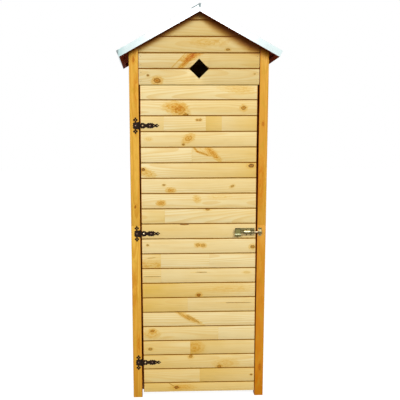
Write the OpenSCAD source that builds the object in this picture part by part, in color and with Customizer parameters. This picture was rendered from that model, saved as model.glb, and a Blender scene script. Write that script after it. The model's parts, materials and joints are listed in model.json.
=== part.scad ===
// Garden tool cabinet: four jointed posts, boarded walls, a boarded door on
// three strap hinges, a barrel bolt, a vented gable and a sheet-metal roof.
// X runs to the right, Y to the back, Z up. The origin lies on the ground,
// under the middle of the roof. The door is on the -Y side.

/* [Cabinet] */
// Width over the posts
body_w = 658; // [580:1:720]
// Depth over the posts
body_d = 410; // [360:1:470]
// Side of a square post
post_w = 43; // [38:1:50]
// Height of the butt joint in the posts
joint_z = 876; // [780:1:960]
// Clear height under the walls and the door
foot_h = 27.5; // [20:0.5:40]
// Thickness of the wall and door boards
board_t = 12; // [10:0.5:15]
// Height of one board
board_pitch = 73.5; // [65:0.5:80]
// Side of the square fixing cleats and rails inside
cleat_w = 20; // [16:1:24]

/* [Door] */
// Height of the door leaf
door_h = 1508.5; // [1440:0.5:1530]
// Gap between the hinge post and the leaf
hinge_gap = 6; // [6:0.5:8]
// Gap between the leaf and the latch post
latch_gap = 8.5; // [7:0.5:10]
// Gap between the leaf and the gable above it
head_gap = 5; // [5:0.5:8]
// Width of the ledges behind the leaf
ledge_w = 45; // [35:1:60]
// Thickness of the ledges
ledge_t = 15; // [12:1:18]
// Distance from the edge of the leaf to a ledge
ledge_inset = 30; // [24:1:60]
// Distance from the ends of the leaf to the ends of a ledge
ledge_end = 40; // [30:1:80]
// Free room between the ledges and the floor
ledge_clear = 6; // [5:0.5:10]

/* [Gable vent] */
// Half diagonal of the diamond cut through the gable
vent_r = 46; // [30:1:60]

/* [Floor] */
// Thickness of the floor
floor_t = 12; // [10:0.5:18]
// Height of the floor bearers
bearer_h = 35; // [30:1:45]
// Height of the bearers above the feet's lower end
bearer_z = 30; // [28:1:45]
// Free room between the floor and the posts
floor_gap = 1; // [0.5:0.5:3]

/* [Roof] */
// Height of the walls' outer edge above the doorway, up to the roof boards
eave_rise = 162.6; // [140:0.1:200]
// Slope of the roof in degrees
roof_slope = 28.5; // [25:0.5:31]
// How far the roof reaches past the posts at the eaves
eave_overhang = 57; // [45:1:80]
// How far the roof reaches past the posts at the gables
verge_overhang = 40; // [34:1:60]
// Thickness of the roof boards
roof_board_t = 14; // [12:0.5:18]
// Free room between the roof boards and the walls and posts under them
roof_seat = 0.2; // [0.1:0.1:0.6]
// Thickness of the sheet metal
sheet_t = 0.8; // [0.8:0.1:1.5]
// Depth of the sheet's folded edges, square to the slope
lip_h = 30; // [27:0.5:36]
// Width of the battens under the edges of the roof
batten_w = 20; // [16:1:26]
// How far the folded edge reaches below the battens
batten_drop = 0.6; // [0.5:0.1:2]
// Gap between the ends of the roof battens
batten_gap = 1.2; // [1.2:0.1:3]
// Reach of the ridge cap down each slope
cap_l = 35; // [25:1:50]
// Half width of the cap's folded tab over the verge
cap_tab_w = 5; // [5:0.5:12]
// Depth of that tab
cap_tab_h = 18; // [12:1:20]
// Height of the beam under the ridge
ridge_beam_h = 40; // [30:1:60]
// Height of the rails at the top of the side walls
top_rail_h = 40; // [30:1:60]

/* [Hinges] */
// Height of the top hinge below the top of the leaf
hinge_from_top = 183; // [120:1:260]
// Height of the middle hinge above the bottom of the leaf
hinge_mid = 809.5; // [700:0.5:900]
// Height of the bottom hinge above the bottom of the leaf
hinge_from_bottom = 156.5; // [100:0.5:260]
// Thickness of the hinge plates
hinge_t = 1.8; // [1.5:0.1:2.5]
// Diameter of the hinge barrel
barrel_d = 8; // [7:0.5:9]
// Diameter of the hinge pin
pin_d = 4; // [3:0.1:4.5]
// Free room around the pin, on the radius
pin_clear = 0.3; // [0.2:0.05:0.4]
// Length of the barrel piece on the strap
barrel_mid_l = 15; // [13:0.5:17]
// Length of each barrel piece on the post plate
barrel_end_l = 9; // [7:0.5:11]
// Free room between the barrel pieces
barrel_clear = 0.5; // [0.3:0.1:1]
// How far the barrel sits behind the face of the leaf
barrel_sink = 0.4; // [0.3:0.1:0.6]
// Height of the round heads on the pin
pin_head_h = 2; // [1:0.5:3]
// Diameter of a screw hole in the plates
screw_hole_d = 4.6; // [4:0.1:5]

/* [Bolt] */
// Height of the bolt above the bottom of the leaf
bolt_h = 814.5; // [700:0.5:900]
// Diameter of the bolt rod
rod_d = 11; // [8:0.5:12]
// Free room around the rod, on the radius
rod_clear = 0.8; // [0.6:0.1:1.2]
// Length of the base plate on the door
bolt_plate_l = 95; // [90:1:110]
// Height of the base plate
bolt_plate_h = 38; // [34:1:44]
// Distance from the base plate to the edge of the leaf
bolt_plate_inset = 4.5; // [3:0.5:10]
// Thickness of the base plate and the guides
bolt_plate_t = 1.5; // [1.2:0.1:2]
// Wall of the cast long guide
guide_t = 3.5; // [2.5:0.1:4]
// Material left between the base plate's face and the guides' bore
guide_lift = 0.3; // [0.2:0.1:0.6]
// Length of the long guide
guide_l = 42; // [36:1:44]
// Distance from the end of the base plate to the long guide
guide_inset = 11; // [9:0.5:13]
// Length of the short guide at the end of the base plate
end_guide_l = 5; // [4:0.5:6]
// Distance from the end of the base plate to the short guide
end_guide_inset = 2; // [1:0.5:3]
// Length of the keeper on the post
keeper_l = 16; // [13:0.5:20]
// Height of the keeper with its two ears
keeper_h = 40; // [38:1:50]
// Distance from the edge of the post to the keeper
keeper_inset = 5.6; // [5:0.1:9]
// Extra free room in the keeper, on the radius
keeper_clear = 0.8; // [0.6:0.1:1.2]
// Gap between the rod's end and the keeper at rest
rod_rest_gap = 1.5; // [1:0.1:3]
// Width of the flat handle
handle_w = 30; // [26:1:32]
// Distance from the handle to the long guide at rest
handle_gap = 15; // [15:0.5:18]
// Height of the handle above the rod's axis
handle_up = 17.5; // [14:0.5:20]
// Height of the handle below the rod's axis
handle_down = 20.5; // [18:0.5:24]
// Thickness of the handle
handle_t = 2.2; // [1.8:0.1:3]
// How far the handle sinks into the front of the rod
handle_seat = 0.6; // [0.4:0.1:1]
// Height of the rolled bead below the rod's axis
bead_down = 9.5; // [8:0.5:12]
// Diameter of that bead
bead_d = 5; // [4:0.5:6]

/* [Hidden] */

// Colours
pine = [0.90, 0.76, 0.48];
pine_post = [0.86, 0.62, 0.28];
pine_inside = [0.88, 0.76, 0.55];
dark_wood = [0.34, 0.17, 0.09];
zinc = [0.86, 0.89, 0.90];
black_iron = [0.10, 0.08, 0.08];
yellow_zinc = [0.52, 0.48, 0.26];
grey_steel = [0.56, 0.51, 0.44];

// A cut reaches this far past the faces that it leaves
cut_past = 1;

// Planes of the body
front_y = -body_d / 2;
post_in_x = body_w / 2 - post_w;
post_in_y = body_d / 2 - post_w;
wall_in_x = body_w / 2 - board_t;
wall_in_y = body_d / 2 - board_t;
gable_z = foot_h + door_h + head_gap;
vent_z = gable_z + board_pitch;

// Roof: ridge_z is where the two sheets' upper faces meet
deck_t = sheet_t + roof_board_t;
ridge_z = gable_z + eave_rise + body_w / 2 * tan(roof_slope) + deck_t / cos(roof_slope);
roof_half_w = body_w / 2 + eave_overhang;
roof_half_d = body_d / 2 + verge_overhang;
batten_bottom = lip_h - batten_drop;

// The floor starts behind the ledges of the closed door
floor_front = front_y + board_t + ledge_t + ledge_clear;
floor_back = -floor_front;

// Door leaf
leaf_left = -post_in_x + hinge_gap;
leaf_right = post_in_x - latch_gap;
leaf_top = foot_h + door_h;

// Hinges: the barrel stands in front of the gap beside the leaf
hinge_x = -post_in_x + hinge_gap / 2;
hinge_y = front_y - barrel_d / 2 + barrel_sink;
hinge_top_z = leaf_top - hinge_from_top;
hinge_mid_z = foot_h + hinge_mid;
hinge_bottom_z = foot_h + hinge_from_bottom;
barrel_end_z = barrel_mid_l / 2 + barrel_clear;

// Bolt
bolt_z = foot_h + bolt_h;
guide_r = rod_d / 2 + rod_clear;
rod_y = front_y - bolt_plate_t - guide_lift - guide_r;
bolt_plate_right = leaf_right - bolt_plate_inset;
guide_right = bolt_plate_right - guide_inset;
guide_left = guide_right - guide_l;
keeper_x = post_in_x + keeper_inset;
keeper_r = guide_r + keeper_clear;
rod_right = keeper_x - rod_rest_gap;
handle_right = guide_left - handle_gap;
handle_front = rod_y - rod_d / 2 - handle_t + handle_seat;

$fn = 48;

// Height of what stands under the roof boards, at a distance x from the middle
function deck_under(x) =
  ridge_z - abs(x) * tan(roof_slope) - deck_t / cos(roof_slope) - roof_seat;

// A corner at the eave: down square to the slope, and in along the slope
function eave_point(down, inset) = [
  roof_half_w - inset * cos(roof_slope) - down * sin(roof_slope),
  ridge_z - roof_half_w * tan(roof_slope) + inset * sin(roof_slope) - down * cos(roof_slope)
];

// A point at the ridge: straight under it, at a depth square to the slope
function ridge_point(down) = [0, ridge_z - down / cos(roof_slope)];

// An outline drawn in X and Z, carried from y0 to y1
module along_y(y0, y1) {
  translate([0, y1, 0])
    rotate([90, 0, 0])
      linear_extrude(height = y1 - y0)
        children();
}

// A box from one corner to the other
module block(low, high) {
  translate(low)
    cube(high - low);
}

// Two copies, one on each side of the middle
module both_sides() {
  children();
  mirror([1, 0, 0])
    children();
}

// A layer of the right-hand slope between two depths below the sheet
module slope_layer(top, bottom, inset, y0, y1) {
  along_y(y0, y1)
    polygon([
      ridge_point(top), eave_point(top, inset),
      eave_point(bottom, inset), ridge_point(bottom)
    ]);
}

// An upright of the right-hand side that ends under the roof boards
module upright(x0, x1, y0, y1, z0) {
  along_y(y0, y1)
    polygon([[x0, z0], [x1, z0], [x1, deck_under(x1)], [x0, deck_under(x0)]]);
}

// The four posts, each in two lengths that meet at the same height
module post_lower() {
  color(pine_post)
    block([post_in_x, front_y, 0], [body_w / 2, front_y + post_w, joint_z]);
}

module post_upper() {
  color(pine_post)
    upright(post_in_x, body_w / 2, front_y, front_y + post_w, joint_z);
}

module post_front_left_lower() {
  mirror([1, 0, 0])
    post_lower();
}

module post_front_left_upper() {
  mirror([1, 0, 0])
    post_upper();
}

module post_front_right_lower() {
  post_lower();
}

module post_front_right_upper() {
  post_upper();
}

module post_back_left_lower() {
  mirror([0, 1, 0])
    post_front_left_lower();
}

module post_back_left_upper() {
  mirror([0, 1, 0])
    post_front_left_upper();
}

module post_back_right_lower() {
  mirror([0, 1, 0])
    post_lower();
}

module post_back_right_upper() {
  mirror([0, 1, 0])
    post_upper();
}

// Boarded walls between the posts, flush with their outer faces
module right_wall_lower() {
  color(pine)
    block([wall_in_x, -post_in_y, foot_h], [body_w / 2, post_in_y, joint_z]);
}

module right_wall_upper() {
  color(pine)
    upright(wall_in_x, body_w / 2, -post_in_y, post_in_y, joint_z);
}

module left_wall_lower() {
  mirror([1, 0, 0])
    right_wall_lower();
}

module left_wall_upper() {
  mirror([1, 0, 0])
    right_wall_upper();
}

module back_wall_lower() {
  color(pine)
    block([-post_in_x, wall_in_y, foot_h], [post_in_x, body_d / 2, joint_z]);
}

module back_wall_upper() {
  color(pine)
    block([-post_in_x, wall_in_y, joint_z], [post_in_x, body_d / 2, gable_z]);
}

// Outline of a gable between the posts, from a height up to the roof boards
module gable_outline(z0) {
  polygon([
    [-post_in_x, z0], [post_in_x, z0],
    [post_in_x, deck_under(post_in_x)], [0, deck_under(0)],
    [-post_in_x, deck_under(post_in_x)]
  ]);
}

module back_gable() {
  color(pine)
    along_y(wall_in_y, body_d / 2)
      gable_outline(gable_z);
}

// The diamond that is cut through the front gable
module vent_cut() {
  along_y(front_y - cut_past, front_y + board_t + cut_past)
    polygon([
      [-vent_r, vent_z], [0, vent_z - vent_r],
      [vent_r, vent_z], [0, vent_z + vent_r]
    ]);
}

module front_gable_lower() {
  color(pine)
    difference() {
      block([-post_in_x, front_y, gable_z], [post_in_x, front_y + board_t, vent_z]);
      vent_cut();
    }
}

module front_gable_upper() {
  color(pine)
    difference() {
      along_y(front_y, front_y + board_t)
        gable_outline(vent_z);
      vent_cut();
    }
}

// Rail behind the lowest gable board, below the vent
module head_rail() {
  rail_half = post_in_x - cleat_w;
  rail_top = min(gable_z + cleat_w, vent_z - vent_r);
  color(pine_inside)
    block([-rail_half, front_y + board_t, gable_z],
          [rail_half, front_y + board_t + cleat_w, rail_top]);
}

// Cleats that hold the ends of the gable boards to the posts
module front_gable_cleats() {
  cleat_y = front_y + board_t;
  color(pine_inside)
    both_sides()
      upright(post_in_x - cleat_w, post_in_x, cleat_y, cleat_y + cleat_w, gable_z);
}

// Cleats up the full height behind the ends of the wall boards
module back_wall_cleats() {
  color(pine_inside)
    both_sides()
      upright(post_in_x - cleat_w, post_in_x, wall_in_y - cleat_w, wall_in_y, foot_h);
}

module right_wall_cleats() {
  color(pine_inside)
    for (y = [-post_in_y, post_in_y - cleat_w])
      upright(wall_in_x - cleat_w, wall_in_x, y, y + cleat_w, foot_h);
}

module left_wall_cleats() {
  mirror([1, 0, 0])
    right_wall_cleats();
}

// Rail along the top of a side wall, between its cleats
module right_top_rail() {
  rail_half = post_in_y - cleat_w;
  rail_z = deck_under(wall_in_x) - top_rail_h;
  color(pine_inside)
    upright(wall_in_x - cleat_w, wall_in_x, -rail_half, rail_half, rail_z);
}

module left_top_rail() {
  mirror([1, 0, 0])
    right_top_rail();
}

// Beam under the ridge, from gable to gable
module ridge_beam() {
  half_w = cleat_w / 2;
  beam_z = deck_under(0) - ridge_beam_h;
  color(pine_inside)
    along_y(-wall_in_y, wall_in_y)
      polygon([
        [-half_w, beam_z], [half_w, beam_z],
        [half_w, deck_under(half_w)], [0, deck_under(0)], [-half_w, deck_under(half_w)]
      ]);
}

// Two bearers between the posts, and the floor on them
module floor_bearers() {
  bearer_top = bearer_z + bearer_h;
  color(pine_inside)
    for (y = [floor_front, floor_back - cleat_w])
      block([-post_in_x, y, bearer_z], [post_in_x, y + cleat_w, bearer_top]);
}

module floor_panel() {
  floor_z = bearer_z + bearer_h;
  wall_reach = wall_in_x - floor_gap;
  bay_y = post_in_y - cleat_w - floor_gap;
  bay_x = post_in_x - cleat_w - floor_gap;
  color(pine_inside)
    translate([0, 0, floor_z])
      linear_extrude(height = floor_t) {
        floor_area(post_in_x - floor_gap, floor_front, floor_back);
        floor_area(wall_reach, -bay_y, bay_y);
        floor_area(bay_x, 0, wall_in_y - floor_gap);
      }
}

// A stretch of the floor, as wide to the left as to the right
module floor_area(half_w, y0, y1) {
  translate([-half_w, y0])
    square([2 * half_w, y1 - y0]);
}

// Roof boards, inside the folded edges of the sheet
module roof_board_right() {
  deck_half = roof_half_d - sheet_t;
  color(dark_wood)
    slope_layer(sheet_t, deck_t, sheet_t, -deck_half, deck_half);
}

module roof_board_left() {
  mirror([1, 0, 0])
    roof_board_right();
}

// Battens under the roof boards: one along each verge and one along the eave
module roof_battens_right() {
  verge_out = roof_half_d - sheet_t;
  verge_in = verge_out - batten_w;
  eave_in = sheet_t + batten_w;
  color(dark_wood) {
    slope_layer(deck_t, batten_bottom, sheet_t, -verge_out, -verge_in);
    slope_layer(deck_t, batten_bottom, sheet_t, verge_in, verge_out);
    along_y(-verge_in + batten_gap, verge_in - batten_gap)
      polygon([
        eave_point(deck_t, sheet_t), eave_point(batten_bottom, sheet_t),
        eave_point(batten_bottom, eave_in), eave_point(deck_t, eave_in)
      ]);
  }
}

module roof_battens_left() {
  mirror([1, 0, 0])
    roof_battens_right();
}

// A sheet with its edges folded down at both verges and at the eave
module roof_sheet_right() {
  color(zinc) {
    slope_layer(0, sheet_t, 0, -roof_half_d, roof_half_d);
    slope_layer(0, lip_h, 0, -roof_half_d, -roof_half_d + sheet_t);
    slope_layer(0, lip_h, 0, roof_half_d - sheet_t, roof_half_d);
    along_y(-roof_half_d, roof_half_d)
      polygon([
        eave_point(0, 0), eave_point(lip_h, 0),
        eave_point(lip_h, sheet_t), eave_point(0, sheet_t)
      ]);
  }
}

module roof_sheet_left() {
  mirror([1, 0, 0])
    roof_sheet_right();
}

// Height of a point of the cap: above the sheets by up, square to the slope
function cap_z(x, up) = ridge_z - x * tan(roof_slope) + up / cos(roof_slope);

// Bent strip over the joint of the sheets, with a tab folded over each verge
module ridge_cap() {
  reach = cap_l * cos(roof_slope);
  cap_end = roof_half_d + sheet_t;
  color(zinc) {
    along_y(-cap_end, cap_end)
      polygon([
        [0, cap_z(0, 0)], [reach, cap_z(reach, 0)], [reach, cap_z(reach, sheet_t)],
        [0, cap_z(0, sheet_t)],
        [-reach, cap_z(reach, sheet_t)], [-reach, cap_z(reach, 0)]
      ]);
    for (y = [-cap_end, roof_half_d])
      along_y(y, y + sheet_t)
        polygon([
          [-cap_tab_w, cap_z(cap_tab_w, 0)], [-cap_tab_w, cap_z(cap_tab_w, -cap_tab_h)],
          [0, cap_z(0, -cap_tab_h)], [cap_tab_w, cap_z(cap_tab_w, -cap_tab_h)],
          [cap_tab_w, cap_z(cap_tab_w, 0)], [0, cap_z(0, sheet_t)]
        ]);
  }
}

// Boarded leaf of the door
module door_leaf() {
  color(pine)
    block([leaf_left, front_y, foot_h], [leaf_right, front_y + board_t, leaf_top]);
}

// Upright ledges that hold the boards of the leaf together
module door_ledges() {
  color(pine_inside)
    for (x = [leaf_left + ledge_inset, leaf_right - ledge_inset - ledge_w])
      block([x, front_y + board_t, foot_h + ledge_end],
            [x + ledge_w, front_y + board_t + ledge_t, leaf_top - ledge_end]);
}

// A flat piece of hinge plate, drawn in X and Z from the hinge's centre
module hinge_sheet(z) {
  translate([hinge_x, 0, z])
    along_y(front_y - hinge_t, front_y)
      children();
}

// A piece of the barrel, centred at a height above the hinge's centre
module barrel(z, length) {
  translate([hinge_x, hinge_y, z])
    cylinder(d = barrel_d, h = length, center = true);
}

// A round lobe above and one below the hinge's middle line
module lobes(x, z, r) {
  for (side = [-1, 1])
    translate([x, side * z])
      circle(r = r);
}

// A bar centred on the hinge's middle line
module bar(x0, x1, half_h) {
  translate([x0, -half_h])
    square([x1 - x0, 2 * half_h]);
}

// Scalloped plate on the post, with a pierced finial above and below
module hinge_plate_outline() {
  plate_x = -18.5;
  plate_edge = -barrel_d / 2 - barrel_clear;
  finial_z = 26.5;
  tab_x = -8;
  difference() {
    union() {
      bar(-27, plate_edge, 12);
      bar(plate_x - 3.5, plate_x + 3.5, finial_z);
      lobes(-27, 0, 4.5);
      lobes(-26, 9, 5);
      lobes(plate_x, 12, 6);
      lobes(-10.5, 10.5, 5.5);
      lobes(plate_x - 6, finial_z, 4.8);
      lobes(plate_x + 6, finial_z, 4.8);
      lobes(plate_x, finial_z + 2, 5.5);
      lobes(plate_x, finial_z + 8.5, 3.6);
      for (z = [-barrel_end_z - barrel_end_l, barrel_end_z])
        translate([tab_x, z])
          square([-tab_x, barrel_end_l]);
    }
    lobes(plate_x, finial_z, 2.2);
    translate([plate_x, 0])
      circle(d = screw_hole_d);
    bar(plate_edge, barrel_d, barrel_end_z);
  }
}

// Scalloped strap on the door, ending in a pierced spade
module hinge_strap_outline() {
  difference() {
    union() {
      bar(0, 10, barrel_mid_l / 2);
      bar(8, 24, 9);
      lobes(12.5, 7.5, 6);
      lobes(20, 7, 6);
      bar(20, 42, 8);
      bar(38, 66, 8);
      lobes(42, 7, 5.5);
      lobes(51, 7.5, 5.5);
      lobes(60, 7, 5.5);
      lobes(67, 4.5, 4.5);
      bar(60, 82, 5.5);
      lobes(83, 4, 4.5);
      polygon([[80.5, -8], [95, 0], [80.5, 8]]);
    }
    for (x = [15, 50])
      translate([x, 0])
        circle(d = screw_hole_d);
    translate([68, 0])
      circle(r = 2);
    translate([84.5, 0])
      circle(r = 2.6);
  }
}

// Post side of a hinge: plate, two barrel pieces and the pin
module hinge_plate(z) {
  barrel_offset = barrel_end_z + barrel_end_l / 2;
  pin_half = barrel_end_z + barrel_end_l + pin_head_h;
  color(black_iron) {
    hinge_sheet(z)
      hinge_plate_outline();
    for (side = [-1, 1])
      barrel(z + side * barrel_offset, barrel_end_l);
    translate([hinge_x, hinge_y, z])
      cylinder(d = pin_d, h = 2 * pin_half, center = true);
  }
}

// Door side of a hinge: strap and the middle barrel piece, bored for the pin
module hinge_strap(z) {
  color(black_iron)
    difference() {
      union() {
        hinge_sheet(z)
          hinge_strap_outline();
        barrel(z, barrel_mid_l);
      }
      translate([hinge_x, hinge_y, z])
        cylinder(d = pin_d + 2 * pin_clear, h = barrel_mid_l + 2 * cut_past, center = true);
    }
}

module hinge_plate_top() {
  hinge_plate(hinge_top_z);
}

module hinge_plate_middle() {
  hinge_plate(hinge_mid_z);
}

module hinge_plate_bottom() {
  hinge_plate(hinge_bottom_z);
}

module hinge_strap_top() {
  hinge_strap(hinge_top_z);
}

module hinge_strap_middle() {
  hinge_strap(hinge_mid_z);
}

module hinge_strap_bottom() {
  hinge_strap(hinge_bottom_z);
}

// A round bar or bore along X, at the height and depth of the rod
module along_rod(x0, x1, r) {
  translate([x0, rod_y, bolt_z])
    rotate([0, 90, 0])
      cylinder(r = r, h = x1 - x0);
}

// The same, widened into a block from the rod's middle to a plane behind it
module tunnel(x0, x1, r, back_y) {
  along_rod(x0, x1, r);
  block([x0, rod_y, bolt_z - r], [x1, back_y, bolt_z + r]);
}

// A screw hole through a plate that lies on the face, at a place in X and Z
module screw_hole(x, z, depth) {
  translate([x, front_y, z])
    rotate([90, 0, 0])
      cylinder(d = screw_hole_d, h = 2 * depth, center = true);
}

// Base plate on the door with a long guide and a short one
module bolt_plate() {
  plate_left = bolt_plate_right - bolt_plate_l;
  end_guide_right = bolt_plate_right - end_guide_inset;
  screw_z = bolt_plate_h / 2 - screw_hole_d;
  color(yellow_zinc)
    difference() {
      union() {
        block([plate_left, front_y - bolt_plate_t, bolt_z - bolt_plate_h / 2],
              [bolt_plate_right, front_y, bolt_z + bolt_plate_h / 2]);
        tunnel(guide_left, guide_right, guide_r + guide_t, front_y);
        tunnel(end_guide_right - end_guide_l, end_guide_right,
               guide_r + bolt_plate_t, front_y);
      }
      along_rod(guide_left - cut_past, bolt_plate_right + cut_past, guide_r);
      // The guides' backs are flush with the plate, so nothing enters the door
      block([plate_left, front_y, bolt_z - bolt_plate_h / 2],
            [bolt_plate_right, front_y + guide_t, bolt_z + bolt_plate_h / 2]);
      for (x = [guide_left + guide_l / 3, guide_right - guide_l / 6])
        for (side = [-1, 1])
          screw_hole(x, bolt_z + side * screw_z, bolt_plate_t + cut_past);
    }
}

// Loop on the post that takes the rod's end, with an ear above and below
module bolt_keeper() {
  keeper_right = keeper_x + keeper_l;
  ear_z = (keeper_h / 2 + keeper_r + bolt_plate_t) / 2;
  color(yellow_zinc)
    difference() {
      union() {
        block([keeper_x, front_y - bolt_plate_t, bolt_z - keeper_h / 2],
              [keeper_right, front_y, bolt_z + keeper_h / 2]);
        tunnel(keeper_x, keeper_right, keeper_r + bolt_plate_t, front_y);
      }
      tunnel(keeper_x - cut_past, keeper_right + cut_past, keeper_r, front_y + cut_past);
      for (side = [-1, 1])
        screw_hole(keeper_x + keeper_l / 2, bolt_z + side * ear_z, bolt_plate_t + cut_past);
    }
}

// Rod with a flat handle: a rolled bead crosses the handle's lower part
module bolt() {
  handle_left = handle_right - handle_w;
  hole_z = bolt_z - (handle_down + bead_down + bead_d / 2) / 2;
  color(grey_steel)
    along_rod(handle_left + handle_w / 4, rod_right, rod_d / 2);
  color(yellow_zinc) {
    difference() {
      block([handle_left, handle_front, bolt_z - handle_down],
            [handle_right, handle_front + handle_t, bolt_z + handle_up]);
      translate([handle_left + handle_w / 2, handle_front, hole_z])
        rotate([90, 0, 0])
          cylinder(d = screw_hole_d, h = 3 * handle_t, center = true);
    }
    translate([handle_left, handle_front + handle_t / 2, bolt_z - bead_down])
      rotate([0, 90, 0])
        cylinder(d = bead_d, h = handle_w);
  }
}

post_front_left_lower();
post_front_left_upper();
post_front_right_lower();
post_front_right_upper();
post_back_left_lower();
post_back_left_upper();
post_back_right_lower();
post_back_right_upper();
left_wall_lower();
left_wall_upper();
right_wall_lower();
right_wall_upper();
back_wall_lower();
back_wall_upper();
back_gable();
front_gable_lower();
front_gable_upper();
head_rail();
front_gable_cleats();
left_wall_cleats();
right_wall_cleats();
back_wall_cleats();
left_top_rail();
right_top_rail();
ridge_beam();
floor_panel();
floor_bearers();
roof_board_left();
roof_board_right();
roof_battens_left();
roof_battens_right();
roof_sheet_left();
roof_sheet_right();
ridge_cap();
hinge_plate_top();
hinge_plate_middle();
hinge_plate_bottom();
bolt_keeper();
door_leaf();
door_ledges();
hinge_strap_top();
hinge_strap_middle();
hinge_strap_bottom();
bolt_plate();
bolt();
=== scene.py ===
# %% [markdown]
# # A garden tool cabinet
# The cabinet stands on four square posts. Thin grooved boards close its front,
# sides and back, a boarded door hangs on three black strap hinges, and two
# bent zinc sheets cover a small gable roof.
# The sizes come from the solid model, which is loaded here as a fixed frame.
# Every new piece takes its place from the boxes of that model, so a piece can
# never drift away from the solid that it dresses.

import json
from functools import reduce
from itertools import product
from math import cos, pi, radians, sin, tan

import bmesh
import bpy
import numpy as np
from mathutils import Matrix, Vector


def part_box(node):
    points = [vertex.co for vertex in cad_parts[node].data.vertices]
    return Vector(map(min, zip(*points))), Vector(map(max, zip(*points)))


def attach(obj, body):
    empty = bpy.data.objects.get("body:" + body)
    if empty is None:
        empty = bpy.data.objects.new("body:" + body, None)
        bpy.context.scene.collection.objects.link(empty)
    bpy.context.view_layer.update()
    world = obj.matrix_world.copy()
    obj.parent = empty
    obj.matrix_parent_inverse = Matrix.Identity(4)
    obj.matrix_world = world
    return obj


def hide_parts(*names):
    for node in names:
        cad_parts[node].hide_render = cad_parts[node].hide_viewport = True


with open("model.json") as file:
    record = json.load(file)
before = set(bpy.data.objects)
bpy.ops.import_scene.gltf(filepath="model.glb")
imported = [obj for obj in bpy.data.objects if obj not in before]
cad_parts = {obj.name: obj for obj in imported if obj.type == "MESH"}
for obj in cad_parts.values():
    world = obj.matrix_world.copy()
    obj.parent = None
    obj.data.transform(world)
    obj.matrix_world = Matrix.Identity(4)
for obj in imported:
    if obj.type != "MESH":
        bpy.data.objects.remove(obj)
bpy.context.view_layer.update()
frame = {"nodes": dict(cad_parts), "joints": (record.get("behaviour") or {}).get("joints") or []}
MM = 0.001
X, Y, Z = np.eye(3)
SIDES = (("left", -1), ("right", 1))
scene = bpy.context.scene

# %% [markdown]
# ## Measures from the frame
# A box has a lowest and a highest corner. Both are turned into numpy arrays,
# because the surfaces below are worked out with whole arrays. The slope of the
# roof is read from two heights of the wood that stands under it.

# %% Corners, planes and the roof's slope
def corners(node):
    """The lowest and the highest corner of a solid, each as an array of three."""
    low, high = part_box(node)
    return np.array(low), np.array(high)


post_low, post_high = corners("post_front_right_upper")
front_y, joint_z = post_low[1:]
post_in, body_side = post_low[0], post_high[0]
post_w = body_side - post_in

leaf_low, leaf_high = corners("door_leaf")
foot_z, leaf_top = leaf_low[2], leaf_high[2]
board_t = leaf_high[1] - leaf_low[1]

gable_low, gable_high = corners("front_gable_lower")
gable_z, vent_z = gable_low[2], gable_high[2]
pitch = vent_z - gable_z

peak_z = corners("back_gable")[1][2]
fall = (peak_z - post_high[2]) / post_in
slope = np.arctan(fall)


def under_roof(x):
    """Height of the wood under the roof boards: the peak less the fall times |x|."""
    return peak_z - fall * np.abs(x)


print("roof slope", round(float(np.degrees(slope)), 2), "degrees; board pitch", pitch / MM)

# %% [markdown]
# ## The camera
# The cabinet is seen from a little left of its middle, from a standing
# person's height, with the lens turned slightly down. A small shift moves the
# frame without turning the camera, as a view camera does, so the posts keep
# their slight convergence and the whole cabinet fits.

# %% Place the camera
def add_object(name, data):
    """An object of this mesh, lamp or camera, linked to the scene."""
    made = bpy.data.objects.new(name, data)
    scene.collection.objects.link(made)
    return made


def put_camera(place, down, right, roll, lens, shift):
    """A camera that looks along +Y, then turns right, down and about its own axis."""
    data = bpy.data.cameras.new("camera")
    data.lens, data.sensor_width, data.clip_end = lens, 36.0, 100.0
    data.shift_x, data.shift_y = shift
    camera = scene.camera = add_object("camera", data)
    camera.matrix_world = (
        Matrix.Translation(Vector(place))
        @ Matrix.Rotation(-radians(right), 4, "Z")
        @ Matrix.Rotation(pi / 2 - radians(down), 4, "X")
        @ Matrix.Rotation(-radians(roll), 4, "Z")
    )


put_camera(
    place=(-0.229, -3.358, 1.260), down=9.477, right=2.09, roll=0.214,
    lens=58.745, shift=(0.0612, 0.136),
)
print("camera 3.4 m in front of the cabinet")

# %% [markdown]
# ## Writing a finish
# A finish is a material made of nodes. Writing every node by hand is long, so
# a small class keeps one tree of nodes and adds a node in one line. A value
# given to it is either a plain number, which is set on the socket, or the
# output of another node, which is linked. The sky is written the same way.

# %% A short way to write nodes
def linear(red, green, blue):
    """Linear values of a colour given as 0 to 255: the screen's curve undone."""
    c = np.array([red, green, blue]) / 255.0
    return tuple(np.where(c <= 0.04045, c / 12.92, ((c + 0.055) / 1.055) ** 2.4)) + (1.0,)


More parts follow.
